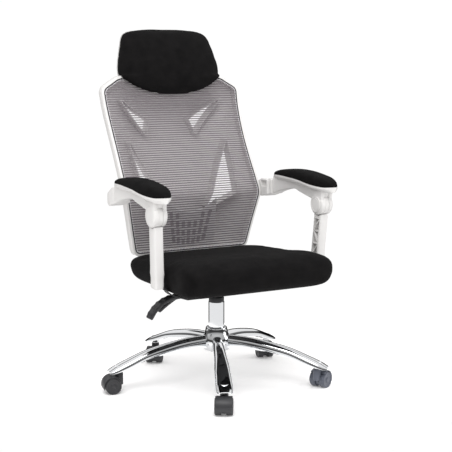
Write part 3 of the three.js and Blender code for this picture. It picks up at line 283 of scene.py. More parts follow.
def lathe(profile, steps, bm=None, axis=(0, 0, 1), centre=(0, 0, 0), turn=2 * math.pi):
    """Adds a shape turned from (radius, height) points about an axis through the centre."""
    bm = bm or bmesh.new()
    axis = Vector(axis).normalized()
    out = axis.orthogonal().normalized()
    verts = [bm.verts.new(Vector(centre) + out * radius + axis * height)
             for radius, height in profile]
    edges = [bm.edges.new(pair) for pair in zip(verts, verts[1:])]
    bmesh.ops.spin(bm, geom=verts + edges, cent=centre, axis=axis, dvec=(0, 0, 0),
                   angle=turn, steps=steps, use_merge=turn > 6.28, use_duplicate=False)
    bmesh.ops.remove_doubles(bm, verts=bm.verts, dist=0.001)
    return bm


chrome = finish_named("chrome", (0.74, 0.75, 0.765), 0.06, 1.0)
speckled(chrome, "Roughness", 14, 0.03, 0.09)

leg_ridge = along([(30, 154), (110, 148), (179, 136), (236, 122), (293, 100), (333, 83), (356, 70)])
leg_height = along([(30, 38), (110, 32), (236, 24), (311, 20), (340, 14), (356, 6)])
leg_half_width = along([(30, 18), (110, 19.5), (236, 23.5), (320, 26), (340, 25), (356, 19)])
leg_end, leg_wall = 356, 2.6
stem_circle = 322
leg_turns = [math.radians(-24.9 + 72 * number) for number in range(5)]


def leg_section(radius):
    wide, tall, ridge = leg_half_width(radius), leg_height(radius), leg_ridge(radius)
    wall = min(leg_wall, tall / 3)

    def arch(half, height, steps):
        points = []
        for step in range(steps + 1):
            angle = math.pi * (1 - step / steps)
            side = math.copysign(abs(math.cos(angle)) ** 0.7, math.cos(angle))
            points.append((half * side, -radius, ridge - tall + height * math.sin(angle) ** 0.75))
        return points
    return arch(wide, tall, 16) + arch(wide - wall, tall - wall, 12)[::-1]


star = bmesh.new()
for turn in leg_turns:
    leg = bmesh.new()
    spaced = [28 + (leg_end - 28) * (1 - (1 - n / 28) ** 1.25) for n in range(29)]
    skinned([leg_section(radius) for radius in spaced], leg)
    socket_top = leg_ridge(stem_circle) - 3
    lathe([(6.2, 66), (11.5, 66), (12.5, 67), (12.5, socket_top), (6.2, socket_top), (6.2, 66)], 32, leg,
          centre=(0, -stem_circle, 0))
    bmesh.ops.rotate(leg, verts=leg.verts, cent=(0, 0, 0), matrix=Matrix.Rotation(turn, 3, "Z"))
    leg_mesh = bpy.data.meshes.new("leg")
    leg.to_mesh(leg_mesh)
    leg.free()
    star.from_mesh(leg_mesh)
    bpy.data.meshes.remove(leg_mesh)
lathe([(25.4, 107), (41.5, 107), (43, 108.5), (45.5, 130), (44, 146), (37, 158), (34.4, 172),
       (33.8, 176.4), (32.5, 178), (25.4, 178), (25.4, 107)], 80, star)
settled(star, "star_base", chrome, "base", ["base_star"], "chrome", sharp=50)

# ------------------------------------------------------------------------------ column and gas lift
# A chromed steel tube stands in the hub. A black plastic bush in its mouth guides the gas cylinder,
# whose rod stands on a thrust bearing below.
black_plastic = finish_named("black_plastic", (0.018, 0.018, 0.02), 0.42)
grained(black_plastic, 900, 0.25)
speckled(black_plastic, "Roughness", 40, 0.36, 0.5)
black_steel = finish_named("black_steel", (0.016, 0.016, 0.017), 0.5, 0.2)
grained(black_steel, 420, 0.3)
speckled(black_steel, "Roughness", 60, 0.42, 0.58)
bright_steel = finish_named("bright_steel", (0.62, 0.63, 0.64), 0.28, 1.0)
speckled(bright_steel, "Roughness", 120, 0.2, 0.38)

tube = lathe([(5.4, 99), (24, 99), (25, 100), (25, 100.8), (25, 257.4), (25, 258.4), (24.6, 259.3),
              (23.8, 259.6), (22.6, 259.6), (22.6, 103), (5.4, 103), (5.4, 99)], 96)
settled(tube, "chrome_column", chrome, "base", ["column_tube"], "chrome")
bush = lathe([(14.3, 189.6), (22.2, 189.6), (22.2, 259.9), (24, 259.9), (24, 271.6), (23.4, 273.2),
              (22, 273.9), (14.3, 273.9), (14.3, 189.6)], 96)
settled(bush, "column_collar", black_plastic, "base", ["column_bush"], "black_plastic")

# ------------------------------------------------------------------------------ casters
# Twin-wheel casters moulded from dark nylon: a fender over both wheels, a web between them that
# carries the axle, and a round housing for the steel stem that plugs into the leg's socket.
nylon = finish_named("caster_nylon", (0.026, 0.026, 0.029), 0.45)
grained(nylon, 700, 0.25)
speckled(nylon, "Roughness", 60, 0.38, 0.55)
# A paler, bluer copy of the caster nylon: painted light, standing in for the light that one caster catches.
lit_caster_nylon = finish_named("caster_nylon_painted_light", (0.085, 0.094, 0.122), 0.42)
grained(lit_caster_nylon, 700, 0.25)
speckled(lit_caster_nylon, "Roughness", 60, 0.36, 0.5)

wheel_radius = 25
caster_trail = 22
caster_turns = [-122, 25, 75, -125, 168]


def merged(*shapes):
    """Joins shapes into one, each still closed on its own."""
    whole = bmesh.new()
    for shape in shapes:
        part = bpy.data.meshes.new("part")
        shape.to_mesh(part)
        shape.free()
        whole.from_mesh(part)
        bpy.data.meshes.remove(part)
    return whole


def rounded_outline(corners, steps=6):
    """A closed line through corners of (across, up, radius), each rounded off."""
    line = []
    for number, (across, up, radius) in enumerate(corners):
        corner = Vector((across, up))
        before = Vector(corners[number - 1][:2]) - corner
        after = Vector(corners[(number + 1) % len(corners)][:2]) - corner
        reach = min(radius, before.length * 0.45, after.length * 0.45)
        start, end = corner + before.normalized() * reach, corner + after.normalized() * reach
        for step in range(steps + 1 if radius else 1):
            share = step / steps if radius else 0.5
            line.append(start.lerp(corner, share).lerp(corner.lerp(end, share), share))
    return line


def slab(outline, low, high, place, bevel=1.0, segments=2):
    """An outline given thickness from low to high, its rims bevelled. place turns (across, up,
    through) into a point."""
    bm = bmesh.new()
    verts = [bm.verts.new(place(across, up, low)) for across, up in outline]
    face = bm.faces.new(verts)
    grown = bmesh.ops.extrude_face_region(bm, geom=[face])
    raised = [item for item in grown["geom"] if isinstance(item, bmesh.types.BMVert)]
    bmesh.ops.translate(bm, verts=raised, vec=place(0, 0, high) - place(0, 0, low))
    bmesh.ops.recalc_face_normals(bm, faces=bm.faces)
    if bevel:
        rims = {edge for cap in bm.faces if len(cap.verts) == len(verts) for edge in cap.edges}
        bmesh.ops.bevel(bm, geom=list(rims), offset=bevel, offset_type="OFFSET", affect="EDGES",
                        segments=segments, profile=0.5, material=-1, clamp_overlap=True)
    return bm


def from_the_side(along_y, up, through):
    return Vector((through, along_y, up))


def from_the_front(across, up, through):
    return Vector((across, through, up))


def caster_wheel(side):
    inside, outside = 6.8 * side, 26.8 * side
    into = -side
    profile = [(4.3, inside), (22.4, inside), (24.4, inside - into * 0.8), (25, inside - into * 2.6),
               (25, outside + into * 2.6), (24.5, outside + into * 1.1), (23, outside), (20.8, outside),
               (20, outside + into * 0.7), (19.4, outside + into * 2.2), (9.4, outside + into * 2.6),
               (8.8, outside + into * 1.4), (7.8, outside + into * 0.6), (0, outside + into * 0.4)]
    return lathe(profile, 56, axis=(1, 0, 0))


def caster_hood():
    inner, outer, half = 27.05, 30.05, 25
    fender = bmesh.new()
    section = [(-half, inner), (-half, outer - 1.6), (-half + 0.5, outer - 0.5), (-half + 1.6, outer),
               (half - 1.6, outer), (half - 0.5, outer - 0.5), (half, outer - 1.6), (half, inner)]
    start = math.radians(-18)
    verts = [fender.verts.new((x, r * math.cos(start), r * math.sin(start))) for x, r in section]
    edges = [fender.edges.new((verts[n - 1], verts[n])) for n in range(len(verts))]
    bmesh.ops.spin(fender, geom=verts + edges, cent=(0, 0, 0), axis=(1, 0, 0), dvec=(0, 0, 0),
                   angle=math.radians(146), steps=36, use_merge=False, use_duplicate=False)
    bmesh.ops.holes_fill(fender, edges=[e for e in fender.edges if e.is_boundary], sides=0)
    web = slab(rounded_outline([(-caster_trail, -4, 3), (4, 2, 0), (20, 18, 0), (16, 23, 4), (-6, 28, 2),
                                (-caster_trail, 30, 3)]), -6.2, 6.2, from_the_side, 0.6)
    hub = lathe([(0, -6.2), (19, -6.2), (20.6, -5), (20.6, 5), (19, 6.2), (0, 6.2)], 40, axis=(1, 0, 0))
    housing = lathe([(0, 0.4), (10.6, 0.4), (12, 1.2), (12.5, 3), (12.5, 35), (11.9, 36.8), (10.4, 37.5),
                     (5.8, 37.5), (5.8, 30), (0, 30)], 40, centre=(0, -caster_trail, 0))
    return merged(fender, web, hub, housing)


def placed_caster(bm, number):
    leg = leg_turns[number]
    bmesh.ops.translate(bm, verts=bm.verts, vec=(0, caster_trail, 0))
    bmesh.ops.rotate(bm, verts=bm.verts, cent=(0, 0, 0),
                     matrix=Matrix.Rotation(math.radians(caster_turns[number] - 90), 3, "Z"))
    bmesh.ops.translate(bm, verts=bm.verts, vec=(
        stem_circle * math.sin(leg), -stem_circle * math.cos(leg), wheel_radius))
    return bm


for number in range(5):
    caster = f"caster_{number + 1}"
    # The second caster takes the paler copy of the nylon as painted light.
    moulding = lit_caster_nylon if number == 1 else nylon
    settled(placed_caster(caster_hood(), number), f"{caster}_fender", moulding, caster,
            [f"{caster}_hood"], "caster_nylon")
    stem = lathe([(0, 7), (5.5, 7), (5.5, 37.8), (8.4, 37.8), (9, 38.4), (9, 40), (8.4, 40.7),
                  (5.5, 40.7), (5.5, 52), (4.6, 53), (0, 53)], 24, centre=(0, -caster_trail, 0))
    settled(placed_caster(stem, number), f"{caster}_steel_stem", bright_steel, caster,
            [f"{caster}_stem"], "bright_steel")
    for letter, side in (("a", 1), ("b", -1)):
        settled(placed_caster(caster_wheel(side), number), f"{caster}_roller_{letter}", moulding,
                f"wheel_{number + 1}{letter}", [f"{caster}_wheel_{letter}"], "caster_nylon", sharp=50)
    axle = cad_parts[f"{caster}_axle"]
    axle.data.materials.clear()
    axle.data.materials.append(bright_steel)

# ------------------------------------------------------------------------------ lever paddles
# Black moulded paddles pushed onto the bent steel rods of the height and recline levers, with
# finger ribs across their upper face.
height_lever_line = [(-62, -45, 300), (-110, -45, 301), (-150, -45, 300), (-185, -45, 296),
                     (-212, -45, 286), (-238, -45, 266), (-256, -45, 240)]
recline_lever_line = [(-32, 12, 300), (-62, 12, 300), (-98, 12, 299), (-128, 12, 291),
                      (-155, 12, 278), (-180, 12, 263), (-201, 12, 248)]


def line_through(points):
    """A smooth line through points, read at a share of its length: (place, direction)."""
    lengths = [0.0]
    for before, after in zip(points, points[1:]):
        lengths.append(lengths[-1] + (Vector(after) - Vector(before)).length)
    tracks = [along([(length, point[axis]) for length, point in zip(lengths, points)])
              for axis in range(3)]

    def at(share):
        place = Vector([track(share * lengths[-1]) for track in tracks])
        ahead = Vector([track(share * lengths[-1] + 0.5) for track in tracks])
        behind = Vector([track(share * lengths[-1] - 0.5) for track in tracks])
        return place, (ahead - behind).normalized()
    return at


def paddle(line, start):
    half_width = along([(0, 10), (0.3, 14), (0.8, 16.5), (0.95, 16.5), (0.985, 15.5), (1, 13.5)])
    sections = []
    for step in range(73):
        share = step / 72
        place, ahead = line(start + (1 - start) * share)
        side = Vector((0, 0, 1)).cross(ahead).normalized()
        up = ahead.cross(side)
        thick = (8 - 1.2 * share) * (0.75 if step in (0, 72) else 1)
        rib = 0.0
        if 0.34 < share < 0.92:
            rib = 2.2 * max(0.0, math.sin((share - 0.34) / 0.58 * math.pi * 9)) ** 0.5
        section = []
        for corner in range(28):
            angle = 2 * math.pi * corner / 28
            wide = math.copysign(abs(math.cos(angle)) ** 0.6, math.cos(angle)) * half_width(share)
            high = math.copysign(abs(math.sin(angle)) ** 0.6, math.sin(angle))
            if high > 0.2:
                section.append(place + side * wide + up * (high * thick + rib * (high - 0.2)))
            else:
                section.append(place + side * wide + up * high * thick)
        sections.append(section)
    bm = bmesh.new()
    skinned(sections, bm)
    return bm


settled(paddle(line_through(height_lever_line), 0.33), "height_paddle", black_plastic, "height_lever",
        ["height_lever_grip"], "black_plastic")
settled(paddle(line_through(recline_lever_line), 0.52), "recline_paddle", black_plastic,
        "recline_lever", ["recline_lever_grip"], "black_plastic")

# ------------------------------------------------------------------------------ seat cushion
# A moulded foam block under a black knitted cover, pulled down over the plywood board and stapled
# beneath it. It is full and smooth, with a rolled front edge.
black_knit = finish_named("black_knit", (0.0045, 0.0042, 0.0044), 0.95, Sheen_Weight=0.008,
                          Sheen_Roughness=0.6, Specular_IOR_Level=0.1)


def knitted(material, stitch, strength):
    """Rows of small knitted loops in relief, in all three directions of the piece."""
    tree = material.node_tree
    place = node_of(material, "ShaderNodeTexCoord")
    loops = node_of(material, "ShaderNodeTexVoronoi", Scale=1 / stitch, Randomness=0.25)
    fuzz = node_of(material, "ShaderNodeTexNoise", Scale=2600.0, Detail=2.0)
    height = node_of(material, "ShaderNodeMath", operation="MULTIPLY_ADD")
    height.inputs[1].default_value = 0.35
    bump = node_of(material, "ShaderNodeBump", Strength=strength, Distance=0.0006)
    bump.invert = True
    tree.links.new(place.outputs["Object"], loops.inputs["Vector"])
    tree.links.new(place.outputs["Object"], fuzz.inputs["Vector"])
    tree.links.new(fuzz.outputs["Fac"], height.inputs[0])
    tree.links.new(loops.outputs["Distance"], height.inputs[2])
    tree.links.new(height.outputs["Value"], bump.inputs["Height"])
    tree.links.new(bump.outputs["Normal"], tree.nodes["Principled BSDF"].inputs["Normal"])


knitted(black_knit, 0.0016, 0.5)
tinted(black_knit, 30, (0.0034, 0.0031, 0.0033), (0.0064, 0.0058, 0.006))

cushion_plan = [(262, -296, 42), (257, -165, 90), (253, 163, 76)]
cushion_bottom = 322.3
cushion_top = along([(-296, 414), (-268, 421), (-240, 425), (-209, 426), (-155, 423), (-98, 416),
                     (-40, 411), (20, 408), (81, 405), (163, 402)])
cushion_under = along([(0, 60), (5.5, 42), (10.5, 30), (15.5, 20), (21.5, 12), (30, 6), (42, 2.5), (54, 0)])
cushion_brow = [(20, 0.5), (14, 2), (9, 4), (6, 6.6), (3, 10), (1.2, 14.5), (0, 20), (-1.3, 31),
                (-2.5, 45), (-3.4, 66), (-4, 90), (-5, 150)]


def smooth_share(value, start, end):
    share = min(max((value - start) / (end - start), 0), 1)
    return share * share * (3 - 2 * share)


def cushion_ring(inset, height_at, rake=1.0):
    """One level loop of the cover, drawn in by the inset and further at the front by the rake."""
    front = cushion_plan[0][1] + rake * inset
    half = [(x - inset, y * front / cushion_plan[0][1] if y < 0 else y - inset, radius)
            for x, y, radius in cushion_plan]
    loop = []
    for point in rounded_outline(half + [(-x, y, radius) for x, y, radius in half[::-1]], 10):
        bow = (6 + inset * (rake - 1) / 2) * (1 - (point.x / cushion_plan[0][0]) ** 2)
        loop.append(Vector((point.x, point.y - bow * smooth_share(point.y / front, 0.45, 0.95),
                            height_at(point.y))))
    return loop


def stuffed(piece, voxel, most, floor_at=None):
    """Evens out a cushion's cover and lets the stuffing swell it, by at most a given distance."""
    scene = bpy.context.scene
    even = piece.modifiers.new("even", "REMESH")
    even.mode = "VOXEL"
    even.voxel_size = voxel
    settle_modifiers(piece)
    rest = [vert.co.copy() for vert in piece.data.vertices]
    cover = piece.modifiers.new("cover", "CLOTH")
    cover.settings.use_pressure = True
    cover.settings.uniform_pressure_force = 4
    cover.settings.effector_weights.gravity = 0
    for number in range(1, 21):
        scene.frame_set(number)
    swollen = piece.evaluated_get(bpy.context.evaluated_depsgraph_get()).data
    moved = [vert.co.copy() for vert in swollen.vertices]
    piece.modifiers.remove(cover)
    scene.frame_set(1)
    for vert, start, end in zip(piece.data.vertices, rest, moved):
        step = end - start
        if step.length > most:
            step *= most / step.length
        if floor_at is not None:
            step *= smooth_share(start.z, floor_at, floor_at + 0.03)
        vert.co = start + step
    piece.data.polygons.foreach_set("use_smooth", [True] * len(piece.data.polygons))
    finer = piece.modifiers.new("finer", "SUBSURF")
    finer.levels = finer.render_levels = 1
    settle_modifiers(piece)


def settle_modifiers(piece):
    """Makes what a piece's modifiers give its own mesh."""
    result = bpy.data.meshes.new_from_object(piece.evaluated_get(bpy.context.evaluated_depsgraph_get()))
    piece.modifiers.clear()
    plain, piece.data = piece.data, result
    bpy.data.meshes.remove(plain)
    result.name = piece.name


cushion = bmesh.new()
slack = 2.2  # the cover is cut this much smaller than it stands when stuffed
skinned([cushion_ring(cushion_under(rise) + slack, lambda y, up=rise: cushion_bottom + 0.8 + up, 1.65)
         for rise in (0, 2.5, 5.5, 8, 10.5, 13, 15.5, 18.5, 21.5, 25.5, 30, 36, 42, 48, 54)]
        + [cushion_ring(inset + slack, lambda y, down=fall: cushion_top(y) - 1.8 - down)
           for fall, inset in cushion_brow], cushion)
seat_cover = settled(cushion, "seat_cover", black_knit, "seat", ["seat_cushion"], "black_fabric")
stuffed(seat_cover, 0.006, 0.0045, floor_at=0.3235)

# ------------------------------------------------------------------------------ back frame
# The ring that the mesh is stretched on: one moulding of white nylon, bent to the sitter's back,
# with a thin front lip and deep sides.
white_plastic = finish_named("white_plastic", (0.68, 0.668, 0.658), 0.4)
grained(white_plastic, 500, 0.12)
speckled(white_plastic, "Roughness", 30, 0.34, 0.48)

back_y = along([(395, 165.5), (480, 153.5), (545, 142.5), (580, 138.5), (620, 158), (700, 205.4),
                (780, 250.6), (860, 287.5), (930, 307), (1000, 327), (1060, 350), (1120, 374)])
mesh_corners = [(200, 400, 16), (239, 580, 20), (235.5, 740, 200), (244, 917, 14), (186, 952, 12)]
mesh_line = rounded_outline(mesh_corners + [(-x, z, r) for x, z, r in mesh_corners[::-1]], 10)
right_half = sorted((p for p in mesh_line if p.x > 0), key=lambda p: p.y)


def half_width_at(height):
    """Half the width of the stretched mesh at a height."""
    above = next((n for n, p in enumerate(right_half) if p.y >= height), len(right_half) - 1)
    if above == 0:
        return right_half[0].x
    low, high = right_half[above - 1], right_half[above]
    share = min(max((height - low.y) / max(high.y - low.y, 1e-6), 0), 1)
    return low.x + (high.x - low.x) * share


def even_steps(line, longest):
    """A closed line with points added so that none are further apart than longest."""
    stepped = []
    for number, point in enumerate(line):
        after = line[(number + 1) % len(line)]
        parts = max(1, math.ceil((after - point).length / longest))
        stepped += [point.lerp(after, part / parts) for part in range(parts)]
    return [p for n, p in enumerate(stepped) if (p - stepped[n - 1]).length > 0.05]


def round_the_mesh(section, longest=12, inset=0):
    """Sections of (outward, backward) points set round the mesh's edge."""
    line = even_steps(mesh_line, longest)
    sections = []
    for number, point in enumerate(line):
        into = (point - line[number - 1]).normalized()
        out_of = (line[(number + 1) % len(line)] - point).normalized()
        outward = Vector((into.y + out_of.y, -into.x - out_of.x)).normalized()
        reach = 1 / max(0.5, outward.dot(Vector((into.y, -into.x))))
        ring = []
        for out, depth in section:
            place = point + outward * (out - inset) * reach
            ring.append(Vector((place.x, back_y(place.y) + depth, place.y)))
        sections.append(ring)
    return sections


ring_section = [(-6, 2.6), (-1.1, 2.3), (0.3, 2.3), (0.3, -0.4), (0.9, -1), (5.4, -1), (6.8, -0.4),
                (7.7, 0.8), (8, 2.4), (8, 24), (7.4, 25.4), (6, 26), (-4.6, 26), (-5.6, 25.4), (-6, 24)]
ring = bmesh.new()
ring_sections = round_the_mesh(ring_section)
skinned(ring_sections + ring_sections[:1], ring, capped=False)
settled(ring, "back_ring", white_plastic, "back", ["back_frame"], "white_plastic", sharp=35)

# ------------------------------------------------------------------------------ mesh
# Grey ribbed mesh sewn to a plastic strip that is pressed into the ring: an open net of fine threads,
# crossed by a close dark rib every eight millimetres.
grey_mesh = finish_named("grey_mesh", (0.33, 0.32, 0.335), 0.75)
tree = grey_mesh.node_tree
cloth_place = node_of(grey_mesh, "ShaderNodeUVMap")
split_place = node_of(grey_mesh, "ShaderNodeSeparateXYZ")
tree.links.new(cloth_place.outputs["UV"], split_place.inputs["Vector"])


def stripes(material, source, pitch, share, soft=0.12):
    """1 on threads of a share of the pitch and 0 between them, along one direction of the cloth."""
    tree = material.node_tree
    scaled = node_of(material, "ShaderNodeMath", operation="MULTIPLY")
    scaled.inputs[1].default_value = 1 / pitch
    wrapped = node_of(material, "ShaderNodeMath", operation="FRACT")
    centred = node_of(material, "ShaderNodeMath", operation="SUBTRACT")
    centred.inputs[1].default_value = 0.5
    away = node_of(material, "ShaderNodeMath", operation="ABSOLUTE")
    edge = node_of(material, "ShaderNodeMapRange", interpolation_type="SMOOTHSTEP")
    edge.inputs["From Min"].default_value = share / 2 - soft / 2
    edge.inputs["From Max"].default_value = share / 2 + soft / 2
    edge.inputs["To Min"].default_value = 1
    edge.inputs["To Max"].default_value = 0
    chain = [scaled, wrapped, centred, away]
    tree.links.new(source, scaled.inputs[0])
    for before, after in zip(chain, chain[1:]):
        tree.links.new(before.outputs[0], after.inputs[0])
    tree.links.new(away.outputs[0], edge.inputs["Value"])
    return edge.outputs["Result"]


ribs = stripes(grey_mesh, split_place.outputs["Y"], 0.0079, 0.46)
cross_threads = stripes(grey_mesh, split_place.outputs["X"], 0.0022, 0.1, 0.08)
fine_threads = stripes(grey_mesh, split_place.outputs["Y"], 0.00197, 0.08, 0.08)
net = node_of(grey_mesh, "ShaderNodeMath", operation="MAXIMUM")
cover = node_of(grey_mesh, "ShaderNodeMath", operation="MAXIMUM")
tree.links.new(cross_threads, net.inputs[0])
tree.links.new(fine_threads, net.inputs[1])
tree.links.new(net.outputs[0], cover.inputs[0])
tree.links.new(ribs, cover.inputs[1])
tree.links.new(cover.outputs[0], tree.nodes["Principled BSDF"].inputs["Alpha"])
shade = node_of(grey_mesh, "ShaderNodeMix", data_type="RGBA")
shade.inputs["A"].default_value = (0.232, 0.208, 0.224, 1)
shade.inputs["B"].default_value = (0.132, 0.111, 0.125, 1)
tree.links.new(ribs, shade.inputs["Factor"])
tree.links.new(shade.outputs["Result"], tree.nodes["Principled BSDF"].inputs["Base Color"])

mesh_low, mesh_high = 401, 950.9
mesh_heights = [mesh_low + (mesh_high - mesh_low) * n / 120 for n in range(121)]
climb = [0.0]
for low, high in zip(mesh_heights, mesh_heights[1:]):
    climb.append(climb[-1] + math.hypot(high - low, back_y(high) - back_y(low)))


def on_mesh(across, upwards, inset=1.1, forward=0.0):
    height = mesh_low + (mesh_high - mesh_low) * upwards
    return Vector(((across * 2 - 1) * (half_width_at(height) - inset), back_y(height) - forward, height))


def cloth_sheet():
    bm = bent_grid(24, 120, on_mesh)
    lie = bm.loops.layers.uv.new("cloth")
    for face in bm.faces:
        for loop in face.loops:
            x, y, z = loop.vert.co
            row = round((z - mesh_low) / (mesh_high - mesh_low) * 120)
            loop[lie].uv = (x / 1000, climb[row] / 1000)
    return bm


sheet = settled(cloth_sheet(), "back_mesh", grey_mesh, "back", ["mesh_panel"], "grey_mesh", sharp=80)

dark_piping = finish_named("dark_piping", (0.02, 0.018, 0.022), 0.75)
tinted(dark_piping, 300, (0.015, 0.014, 0.017), (0.028, 0.026, 0.031))
white_thread = finish_named("white_thread", (0.62, 0.6, 0.62), 0.8)
tinted(white_thread, 900, (0.72, 0.7, 0.72), (0.85, 0.83, 0.85))
piping = bmesh.new()
tube = [(1.5 * math.cos(n * math.pi / 4), 1.5 * math.sin(n * math.pi / 4)) for n in range(8)]
piping_sections = round_the_mesh([(out - 1.6, depth - 0.3) for out, depth in tube])
skinned(piping_sections + piping_sections[:1], piping, capped=False)
hem = settled(piping, "mesh_piping", dark_piping, "back", sharp=80)

stitches = bmesh.new()
stitch_line = even_steps(mesh_line, 2.7)
for number, point in enumerate(stitch_line):
    if number % 2:
        continue
    after = stitch_line[(number + 1) % len(stitch_line)]
    run = (after - point).normalized()
    outward = Vector((run.y, -run.x))
    start, end = point - outward * 5, point + run * 2.9 - outward * 5
    sections = []
    for share, size in ((0, 0.4), (0.15, 1.25), (0.85, 1.25), (1, 0.4)):
        middle = start.lerp(end, share)
        base = Vector((middle.x, back_y(middle.y) - 0.35, middle.y))
        flat = Vector((outward.x, 0, outward.y))
        sections.append([base + (flat * math.cos(turn) + Vector((0, 1, 0)) * math.sin(turn) * 0.5) * size
                         for turn in (n * math.pi / 3 for n in range(6))])
    skinned(sections, stitches)
seam = settled(stitches, "mesh_stitches", white_thread, "back", sharp=80)

# ------------------------------------------------------------------------------ back shell
# The white moulding that carries the ring: a deep dish behind the mesh with four flanged openings,
# and a thick spine low on its back where the steel bar is bolted on.
shell_depth = along([(395, 62), (450, 84), (530, 90), (820, 92), (890, 74), (952, 38)])
shell_holes = [[(181, 881), (75, 813), (91, 767)], [(178, 748), (77, 534), (93, 528), (168, 581)]]


def shell_place(across, height, behind):
    rise = smooth_share(abs(across), 0.38, 0.94)
    depth = shell_depth(height)
    return Vector((across * (half_width_at(height) + 6),
                   back_y(height) + depth + (27.1 - depth) * rise + behind, height))


def shell_spot(x, height, behind):
    return shell_place(x / (half_width_at(height) + 6), height, behind)


def carved(body, tool, operation="DIFFERENCE"):
    """Cuts the tool's shape out of the body, or joins it on."""
    holders = []
    for shape in (body, tool):
        bmesh.ops.recalc_face_normals(shape, faces=shape.faces)
        form = bpy.data.meshes.new("form")
        shape.to_mesh(form)
        shape.free()
        holder = bpy.data.objects.new("form", form)
        bpy.context.scene.collection.objects.link(holder)
        holders.append(holder)
    cut = holders[0].modifiers.new("cut", "BOOLEAN")
    cut.operation = operation
    cut.object = holders[1]
    cut.solver = "EXACT"
    result = bmesh.new()
    result.from_object(holders[0], bpy.context.evaluated_depsgraph_get())
    for holder in holders:
        form = holder.data
        bpy.data.objects.remove(holder)
        bpy.data.meshes.remove(form)
    return result


shell = bmesh.new()
across_steps = [n / 36 - 1 for n in range(73)]
shell_sections = []
for number in range(97):
    height = 398 + (mesh_high - 398) * number / 96
    front = [shell_place(across, height, 0) for across in across_steps]
    back = [shell_place(across, height, 4) for across in across_steps[::-1]]
    shell_sections.append(front + back)
skinned(shell_sections, shell)
flanges = []
for hole in shell_holes:
    for side in (1, -1):
        outline = rounded_outline([(x * side, z, 3) for x, z in hole][::side], 6)
        shell = carved(shell, slab(outline, 0, 500, from_the_front, 0))
        line = even_steps(outline, 6)
        sections = []
        for number, point in enumerate(line):
            run = (line[(number + 1) % len(line)] - line[number - 1]).normalized()
            out = Vector((run.y, -run.x))
            if out.dot(point - sum(line, Vector((0, 0))) / len(line)) < 0:
                out = -out
            section = []
            for outwards, behind in ((0, 4.6), (0, -33), (0.8, -34), (3.4, -34), (4.2, -33), (4.6, 3)):
                place = point + out * outwards
                section.append(shell_spot(point.x, point.y, behind) + Vector(
                    (place.x - point.x, 0, place.y - point.y)))
            sections.append(section)
        flange = bmesh.new()
        skinned(sections + sections[:1], flange, capped=False)
        flanges.append(flange)
spine = slab(rounded_outline([(-46, 412, 8), (46, 412, 8), (46, 588, 14), (-46, 588, 14)], 6), 232, 258,
             from_the_front, 3, 3)
settled(merged(shell, spine, *flanges), "back_dish", white_plastic, "back", ["back_shell"],
        "white_plastic", sharp=35)

# ------------------------------------------------------------------------------ lumbar pad
# A thin springy plate between shell and mesh, standing on four pegs and cut with a fan of slots.
# Behind the slots lies a grey sheet that paints shade into them, so that they read dark.
lumbar_white = finish_named("lumbar_plastic", (0.6, 0.595, 0.59), 0.45)
grained(lumbar_white, 500, 0.12)
speckled(lumbar_white, "Roughness", 30, 0.36, 0.5)


lumbar_base, lumbar_half_width, lumbar_depth, lumbar_wall = 412, 90, 30, 3
slot_half_width, slot_half_height, slot_corner = 6.6, 11, 2.5
slot_columns, slot_rows = 7, 5


def lumbar_top(across):
    return 520 + 45 * across * across


def lumbar_place(across, share, behind):
    height = lumbar_base + (lumbar_top(across) - lumbar_base) * share
    return Vector((across * lumbar_half_width,
                   back_y(height) + lumbar_depth + behind - 8 * across * across, height))


def lumbar_sheet(reach, low, high, front, back):
    """A thin sheet bent to the lumbar plate's form, over a share of its width and height."""
    sheet = bmesh.new()
    steps = [reach * (n / 24 - 1) for n in range(49)]
    skinned([[lumbar_place(across, low + (high - low) * row / 20, front) for across in steps]
             + [lumbar_place(across, low + (high - low) * row / 20, back) for across in steps[::-1]]
             for row in range(21)], sheet)
    return sheet


slots = []
for column in range(slot_columns):
    across = (column - 3) / 3.5
    for row in range(slot_rows):
        height = 425 + row * 27 + 12 * across * across
        if height + slot_half_height > lumbar_top(across) - 6:
            continue
        slot = slab(rounded_outline([(right * slot_half_width, up * slot_half_height, slot_corner)
                                     for right, up in ((-1, -1), (1, -1), (1, 1), (-1, 1))], 4),
                    0, 400, from_the_front, 0)
        bmesh.ops.rotate(slot, verts=slot.verts, cent=(0, 0, 0),
                         matrix=Matrix.Rotation(0.24 * across, 3, "Y"))
        bmesh.ops.translate(slot, verts=slot.verts,
                            vec=(across * 76 + (row - 2) * 6 * across, 0, height))
        slots.append(slot)
plate = carved(lumbar_sheet(1, 0, 1, 0, lumbar_wall), merged(*slots))
pegs = [lathe([(radius, back_y(height) + depth) for radius, depth in ((0, 31), (5, 31), (5, 84), (0, 84))],
              20, axis=(0, 1, 0), centre=(side * 18.2, 0, height))
        for side in (-1, 1) for height in (438, 510)]
settled(merged(plate, *pegs), "lumbar_plate", lumbar_white, "back", ["lumbar_pad"], "white_plastic")
# A grey sheet just behind the plate: painted shade that darkens the slots, not a real lining.
slot_shade_grey = finish_named("lumbar_slot_shade_grey", (0.3, 0.285, 0.295), 0.9)
grained(slot_shade_grey, 900, 0.3)
slot_shade_sheet = lumbar_sheet(0.952, 0.03, 0.97, lumbar_wall + 0.2, lumbar_wall + 1.2)
settled(slot_shade_sheet, "lumbar_slot_shade_sheet", slot_shade_grey, "back")

